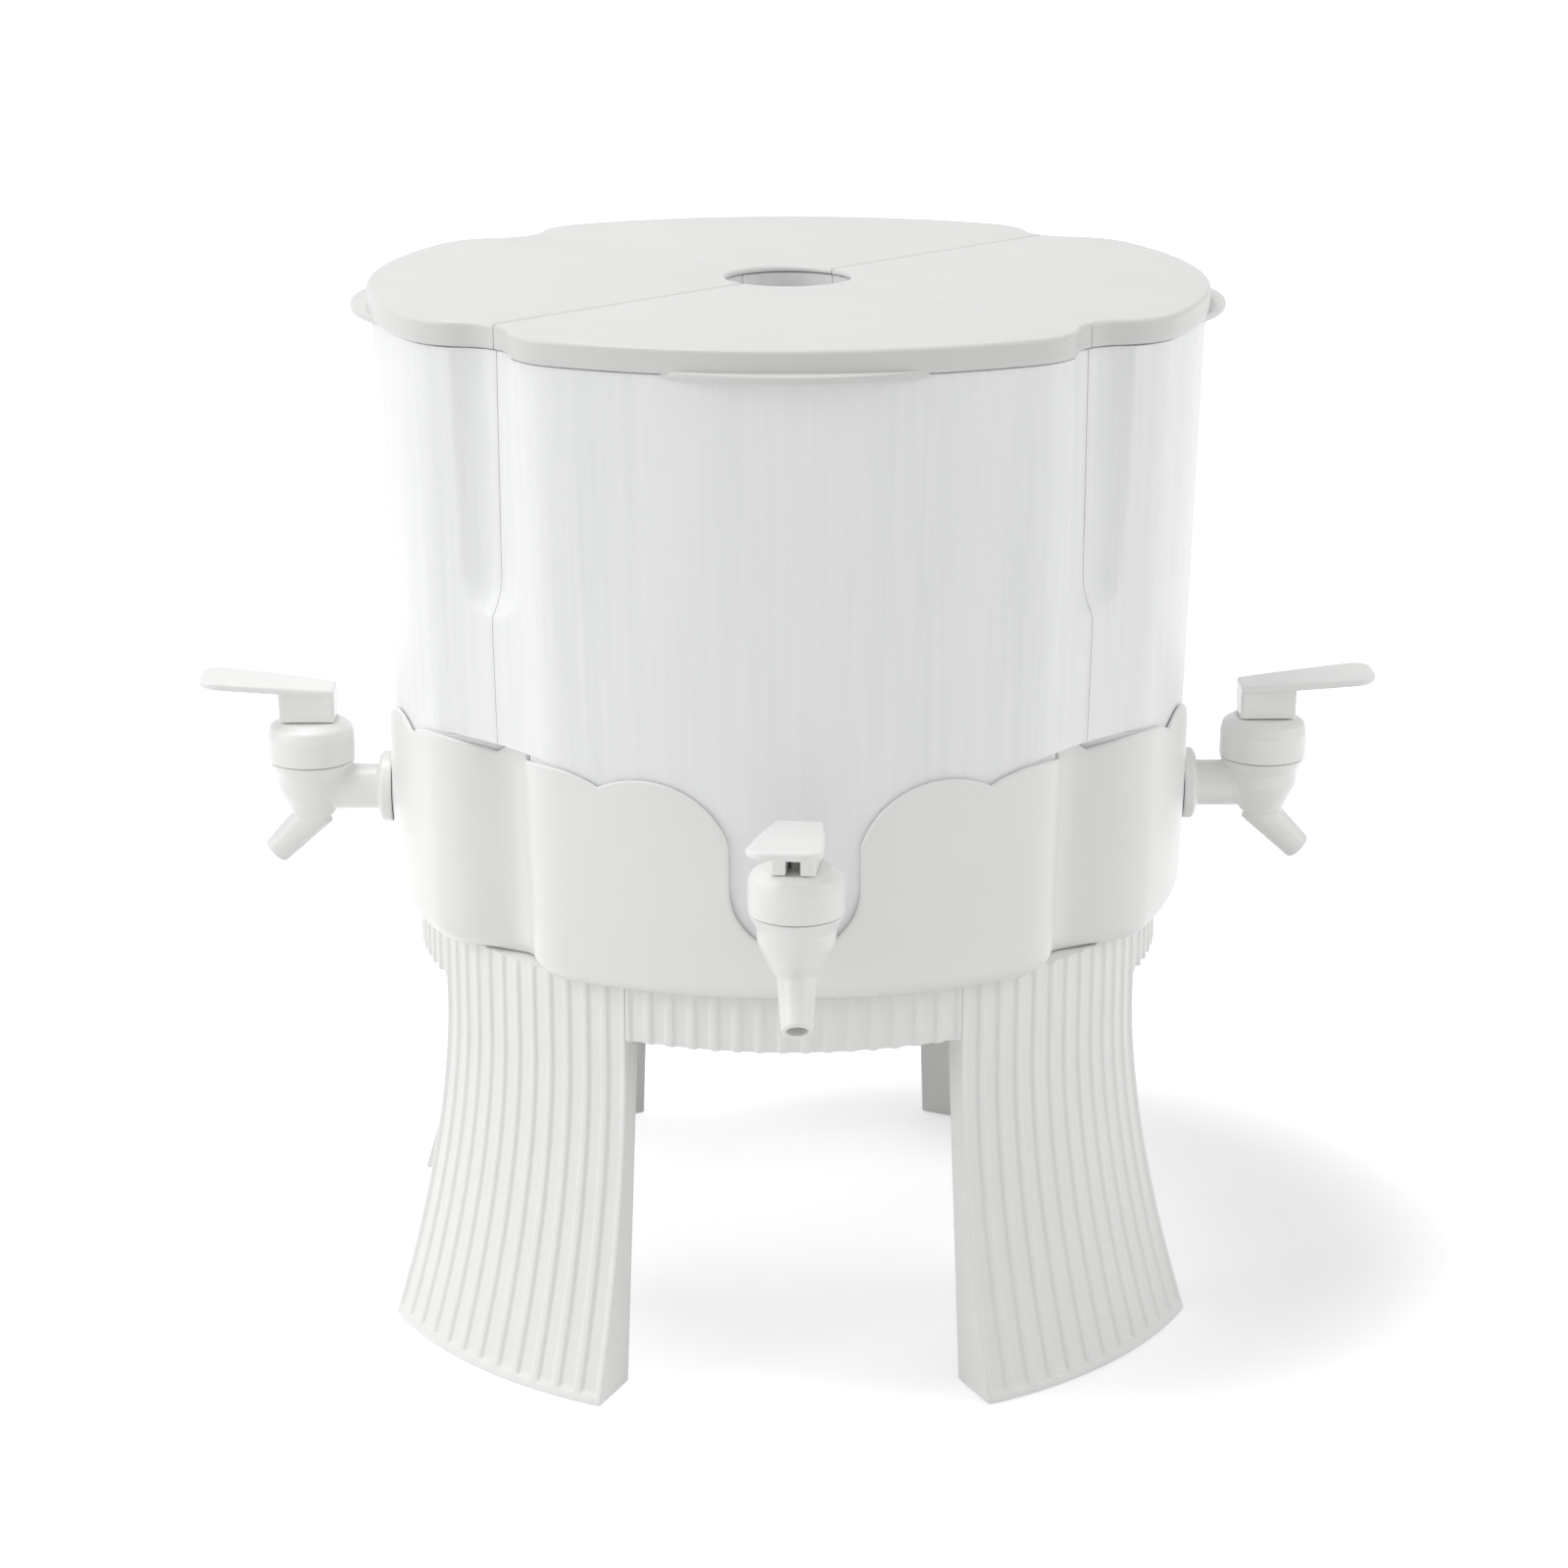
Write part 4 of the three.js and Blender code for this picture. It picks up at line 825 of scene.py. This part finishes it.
def block_part(low, high, edge):
    """A bar with its upright edges chamfered."""
    (x0, y0, z0), (x1, y1, z1) = low, high
    plan = [(x0 + edge, y0), (x1 - edge, y0), (x1, y0 + edge), (x1, y1 - edge),
            (x1 - edge, y1), (x0 + edge, y1), (x0, y1 - edge), (x0, y0 + edge)]
    return skin([at_level(np.array(plan, float), z) for z in (z0, z1)])


# Taps.

def lying(points, along, level):
    """Turn a revolve about Z so that its axis runs outward along +Y at a level."""
    p = np.array(points, float)
    return np.column_stack([p[:, 0], p[:, 2] + along, level - p[:, 1]])


def solid_object(name, part):
    """A helper object, which never stays in the scene."""
    thing = bpy.data.objects.new(name, mesh_from(name, part))
    bpy.context.scene.collection.objects.link(thing)
    return thing


def cast_mesh(name, solids, cuts, voxel=0.35, passes=6):
    """Join solids, cut others out of them, and melt their meeting lines into small moulded fillets."""
    base = solid_object(name, solids[0])
    helpers = []
    for part, kind in [(s, "UNION") for s in solids[1:]] + [(c, "DIFFERENCE") for c in cuts]:
        other = solid_object(name + "_cut", part)
        other.hide_render = True
        helpers.append(other)
        join = base.modifiers.new(kind, "BOOLEAN")
        join.operation, join.object, join.solver = kind, other, "EXACT"
    remesh = base.modifiers.new("Fine", "REMESH")
    remesh.mode, remesh.voxel_size, remesh.use_smooth_shade = "VOXEL", voxel * MM, True
    smooth = base.modifiers.new("Fillet", "SMOOTH")
    smooth.factor, smooth.iterations = 0.5, passes
    graph = bpy.context.evaluated_depsgraph_get()
    mesh = bpy.data.meshes.new_from_object(base.evaluated_get(graph))
    mesh.name = name
    mesh.materials.clear()
    for thing in [base] + helpers:
        old = thing.data
        bpy.data.objects.remove(thing)
        bpy.data.meshes.remove(old)
    mesh.shade_smooth()
    return mesh


def rod_part(start, end, r0, r1, segments=48, edge=0.0):
    """A round rod across X, from radius r0 to r1, with its far edge rounded off."""
    start, end = np.array(start, float), np.array(end, float)
    axis = end - start
    length = np.linalg.norm(axis)
    axis /= length
    side = np.array([1.0, 0, 0])
    up = np.cross(axis, side)
    turns = np.linspace(0, 2 * math.pi, segments, endpoint=False)
    profile = [(0, 0), (r0, 0)] + ([(r1, length - edge), (r1 - edge * 0.3, length - edge * 0.3),
                                    (r1 - edge, length)] if edge else [(r1, length)]) + [(0, length)]
    rings = []
    for r, t in profile:
        r = max(r, POLE)
        rings.append(start + axis * t + r * (np.outer(np.cos(turns), side) + np.outer(np.sin(turns), up)))
    return skin(rings)


# Profiles of revolves. The pipe's are (radius, distance from the dispenser's axis), the others' (radius, level),
# and each has a radius of rounding for each of its points.
PIPE = [(0, 123.5), (8, 123.5), (8, 137.4), (12.5, 137.4), (12.5, 140.8), (11, 142), (8, 142), (8, 165.5), (0, 165.5)]
PIPE_ROUNDS = [0, 0.4, 0, 0.5, 0.6, 0.6, 1.0, 0, 0]
BARREL = [(0, 160.6), (7.2, 161.0), (12.1, 171.5), (12.3, 176.2), (15, 181), (11, 181), (11, 188), (0, 188)]
BARREL_ROUNDS = [0, 2.5, 3, 1.2, 0.5, 0, 0.4, 0]
BONNET = [(11.3, 189.0), (11.3, 181.3), (15.0, 181.3), (15.0, 190.0), (14.2, 193.4), (10.6, 195.4), (2.3, 195.4),
          (2.3, 189.0), (11.3, 189.0)]
BONNET_ROUNDS = [0, 0.3, 0.5, 2.0, 2.2, 1.2, 0.2, 0, 0]


def tap_body_mesh():
    """Pipe with its flange, barrel and slanted spout, moulded in one piece and hollow inside."""
    a, level = TAP["axis"], TAP["level"]
    points, faces = skin(spun(rounded(PIPE, PIPE_ROUNDS), 72))
    pipe = (lying(points, 0, level), faces)
    points, faces = skin(spun(rounded(BARREL, BARREL_ROUNDS), 72))
    barrel = (points + np.array([0, a, 0]), faces)
    spout = rod_part((0, a - 2, 163), (0, 179.5, 147), 6.4, 5.0, edge=0.8)
    bore = rod_part((0, a, 161), (0, 184.5, 142), 3.3, 3.3)
    cavity = rod_part((0, a, 165), (0, a, 194), 8, 8)
    pipe_bore = rod_part((0, 118, level), (0, a - 4, level), 5, 5)
    return cast_mesh("tap_body", [pipe, barrel, spout], [bore, cavity, pipe_bore])


def tap_bonnet_part():
    """The cap on the barrel, with a hole for the stem."""
    points, faces = skin(spun(rounded(BONNET, BONNET_ROUNDS), 96), caps=False)
    return points + np.array([0, TAP["axis"], 0]), faces


def lever_mesh():
    """Hub and paddle, in the frame of the tap's axis, with +Y outward."""
    a = TAP["axis"]
    inner, outer, hub, tip, tip_half, tip_round, root_half = 156.6, 175.8, 6.9, 203, 11.7, 7, 7.2
    thick, root_top, tip_top, low, bulge = 2.7, 207.3, 211.8, 195.7, 0.55
    slope = (tip_top - root_top) / (tip - inner)
    centre = tip - tip_round

    def paddle_ring(inset, drop):
        half, end, r, root = tip_half - inset, tip - inset, tip_round - inset, root_half - inset
        side = [(root, inner + inset)]
        side += [(root + (half - root) * t + bulge * math.sin(math.pi * t), inner + (centre - inner) * t)
                 for t in np.linspace(0, 1, 14)[1:-1]]
        side += [(half - r + r * math.cos(q), end - r + r * math.sin(q)) for q in np.linspace(0, math.pi / 2, 12)]
        left = [(-x, y) for x, y in side]
        points = np.array(left[:1] + side + left[:0:-1])
        return at_level(points, root_top + (points[:, 1] - inner) * slope - drop)

    paddle = skin([paddle_ring(0.9, thick), paddle_ring(0.25, thick - 0.3), paddle_ring(0, thick - 0.9),
                   paddle_ring(0, 0.8), paddle_ring(0.25, 0.25), paddle_ring(0.8, 0)])
    body = block_part((-hub, inner, low), (hub, outer, root_top - 1.2), 0.7)
    floor = low + 1.9
    pocket = block_part((-4, a - 6.3, floor), (4, a + 4, floor + 5.9), 0.2)
    slot = block_part((-2.5, a - 4.2, low - 4), (2.5, a + 2.5, floor + 3), 0.2)
    notch = block_part((-2.2, a, low - 4), (2.2, outer + 4, low + 4.8), 0.2)
    move = np.array([0, -a, 0])
    return cast_mesh("tap_lever", [(p + move, f) for p, f in (body, paddle)],
                     [(p + move, f) for p, f in (pocket, slot, notch)], voxel=0.3, passes=4)


# Assembly.

tank_shell = mesh_from("tank_shell", tank_part(), polypropylene)
lid_plate = mesh_from("lid_plate", lid_part(), abs_lid)
bonnet_cap = mesh_from("tap_bonnet_cap", tap_bonnet_part(), abs_tap)
leg_shell = mesh_from("leg_shell", leg_part(), abs_white)
tap_casting = tap_body_mesh()
tap_casting.materials.append(abs_tap)
straight_paddle = lever_mesh()
straight_paddle.materials.append(abs_tap)
turned_paddle = straight_paddle.copy()
turned_paddle.transform(Matrix.Rotation(TAP["front_turn"] * DEGREE, 4, "Z"))

for side, quarters in SIDES.items():
    turn = quarters * math.pi / 2
    tank_body = f"tank_{side}"
    place_piece(f"tank_{side}_shell", tank_shell, tank_body, f"tank_{side}", quarters)
    place_piece(f"lid_{side}_plate", lid_plate, f"lid_{side}", f"lid_{side}", quarters)
    place_piece(f"tap_body_{side}_casting", tap_casting, tank_body, f"tap_body_{side}", quarters)
    place_piece(f"tap_bonnet_{side}_cap", bonnet_cap, tank_body, f"tap_bonnet_{side}", quarters)
    reach = TAP["axis"] * MM
    paddle = turned_paddle if side == "front" else straight_paddle
    place_piece(f"tap_lever_{side}_paddle", paddle, f"lever_{side}", f"tap_lever_{side}", quarters,
                (-reach * math.sin(turn), reach * math.cos(turn), 0))

for corner, eighths in CORNERS.items():
    place_piece(f"leg_{corner}_shell", leg_shell, "stand", f"leg_{corner}", eighths / 2)

place_piece("cradle_shell", mesh_from("cradle_shell", cradle_part(), abs_white), "cradle", "cradle")
place_piece("stand_ring_shell", mesh_from("stand_ring_shell", stand_ring_part(), abs_white), "stand",
            "stand_ring")

FINISHES = {"bearing_": acetal, "tap_stem": acetal, "spindle_": steel, "leg_screw": steel,
            "tap_gasket": silicone, "tap_seat_cup": silicone, "tap_nut": abs_white}
for node_name, thing in nodes.items():
    for start, material in FINISHES.items():
        if node_name.startswith(start):
            thing.data.materials.clear()
            thing.data.materials.append(material)


# Floor, light and camera.

# What the camera sees the paper give off, by distance in metres: near, far, glow near, glow far. The fall is measured
# from the axis and is painted light under the body, where shade falls. The rise is measured from a place beside the
# axis, so that a painted shadow shows to the right and the paper is white further away.
PAINTED_LIGHT_FALL = (0.08, 0.19, 0.53, 0.27)
PAINTED_SHADOW_RISE = (0.12, 0.26, 0.0, 0.6)
PAINTED_SHADOW_SIDE = (0.075, 0.0, 0.0)
SKY_LIGHT = 0.55  # what the world gives the object; the camera and gloss see white
FLOOR_CORNERS = [(-6, -4, 0), (6, -4, 0), (6, 8, 0), (-6, 8, 0)]
FLOOR_DROP = 0.0003  # keeps the paper just clear of the feet


def seen_directly(tree):
    """An output that is 1 for what the camera, gloss and clear things see, and 0 for light on the object."""
    path = add_node(tree, "ShaderNodeLightPath")
    sight = path.outputs["Is Camera Ray"]
    for ray in ("Is Glossy Ray", "Is Transmission Ray"):
        sight = add_node(tree, "ShaderNodeMath", [(sight, 0), (path.outputs[ray], 1)], operation="MAXIMUM").outputs[0]
    return sight


def paper_with_painted_shade():
    """Matt white studio paper, which keeps the soft shadow. The camera sees it brighter than it is: painted light
    under the body where shade falls, a painted shadow to its right, and white away from the part."""
    material, tree, shader, place = new_material("white_paper_painted_shade")
    fibre = add_node(tree, "ShaderNodeTexNoise", [(place, "Vector")], Scale=per_mm(2.0), Detail=3.0)
    bump = add_node(tree, "ShaderNodeBump", [(fibre.outputs["Fac"], "Height")], Strength=0.03, Distance=0.0002)
    # Painted light and painted shadow: the paper's glow by distance from the axis and from a place to its right.
    glow = add_node(tree, "ShaderNodeMath", operation="ADD")
    for socket, (centre, (near, far, glow_near, glow_far)) in enumerate(
            (((0.0, 0.0, 0.0), PAINTED_LIGHT_FALL), (PAINTED_SHADOW_SIDE, PAINTED_SHADOW_RISE))):
        away = add_node(tree, "ShaderNodeVectorMath", [(place, 0)], operation="DISTANCE")
        away.inputs[1].default_value = centre
        change = add_node(tree, "ShaderNodeMapRange", [(away.outputs["Value"], "Value")],
                          interpolation_type="SMOOTHSTEP", From_Min=near, From_Max=far, To_Min=glow_near,
                          To_Max=glow_far)
        tree.links.new(change.outputs[0], glow.inputs[socket])
    shown = add_node(tree, "ShaderNodeMath", [(seen_directly(tree), 0), (glow.outputs[0], 1)], operation="MULTIPLY")
    tree.links.new(bump.outputs[0], shader.inputs["Normal"])
    tree.links.new(shown.outputs[0], shader.inputs["Emission Strength"])
    set_node(shader, Emission_Color=(1, 1, 1, 1), Base_Color=srgb("#ECECEC"), Roughness=0.9, Specular_IOR_Level=0.1)
    return material


floor_mesh = bpy.data.meshes.new("floor")
floor_mesh.from_pydata(FLOOR_CORNERS, [], [(0, 1, 2, 3)])
floor_mesh.materials.append(paper_with_painted_shade())
floor = bpy.data.objects.new("floor", floor_mesh)
bpy.context.scene.collection.objects.link(floor)
floor.location.z = -FLOOR_DROP

scene = bpy.context.scene
scene.view_settings.view_transform = "Standard"

world = bpy.data.worlds.new("studio")
scene.world = world
world.use_nodes = True
tree = world.node_tree
tree.nodes.clear()
strength = add_node(tree, "ShaderNodeMapRange", [(seen_directly(tree), "Value")], To_Min=SKY_LIGHT, To_Max=1.0)
sky = add_node(tree, "ShaderNodeBackground", [(strength.outputs[0], "Strength")])
sky.inputs["Color"].default_value = (1, 1, 1, 1)
add_node(tree, "ShaderNodeOutputWorld", [(sky.outputs[0], "Surface")])


BODY_MIDDLE = Vector((0, 0, 0.2))
# Each softbox with its place and its side in metres, and its power in watts. All face the body's middle.
SOFTBOXES = (("overhead_softbox", (-0.45, 0.05, 1.75), 0.7, 8.5),
             ("left_softbox", (-1.75, -0.55, 1.05), 1.2, 12),
             ("right_softbox", (1.75, -0.55, 1.05), 1.2, 8))
for name, place, size, power in SOFTBOXES:
    lamp = bpy.data.lights.new(name, "AREA")
    lamp.shape, lamp.size, lamp.energy = "SQUARE", size, power
    softbox = bpy.data.objects.new(name, lamp)
    scene.collection.objects.link(softbox)
    softbox.location = place
    softbox.rotation_euler = (BODY_MIDDLE - Vector(place)).to_track_quat("-Z", "Y").to_euler()

# The camera, fitted to the photograph. It looks 17 degrees down.
PHOTO_WIDTH = 1600
FOCUS = 3688  # focal length in the photograph's pixels
SENSOR = 36.0
CAMERA_REACH, CAMERA_HEIGHT = 1.207, 0.541
PITCH, YAW = 0.2975, 0.9 * DEGREE
ASIDE = 4.3 / FOCUS  # the axis stands 4.3 pixels right of the photograph's middle
camera_data = bpy.data.cameras.new("camera")
camera_data.sensor_width = SENSOR
camera_data.lens = FOCUS / PHOTO_WIDTH * SENSOR
camera = bpy.data.objects.new("camera", camera_data)
scene.collection.objects.link(camera)
camera.location = (-CAMERA_REACH * math.sin(YAW), -CAMERA_REACH * math.cos(YAW), CAMERA_HEIGHT)
camera.rotation_euler = (math.pi / 2 - PITCH, 0, ASIDE - YAW)
scene.camera = camera
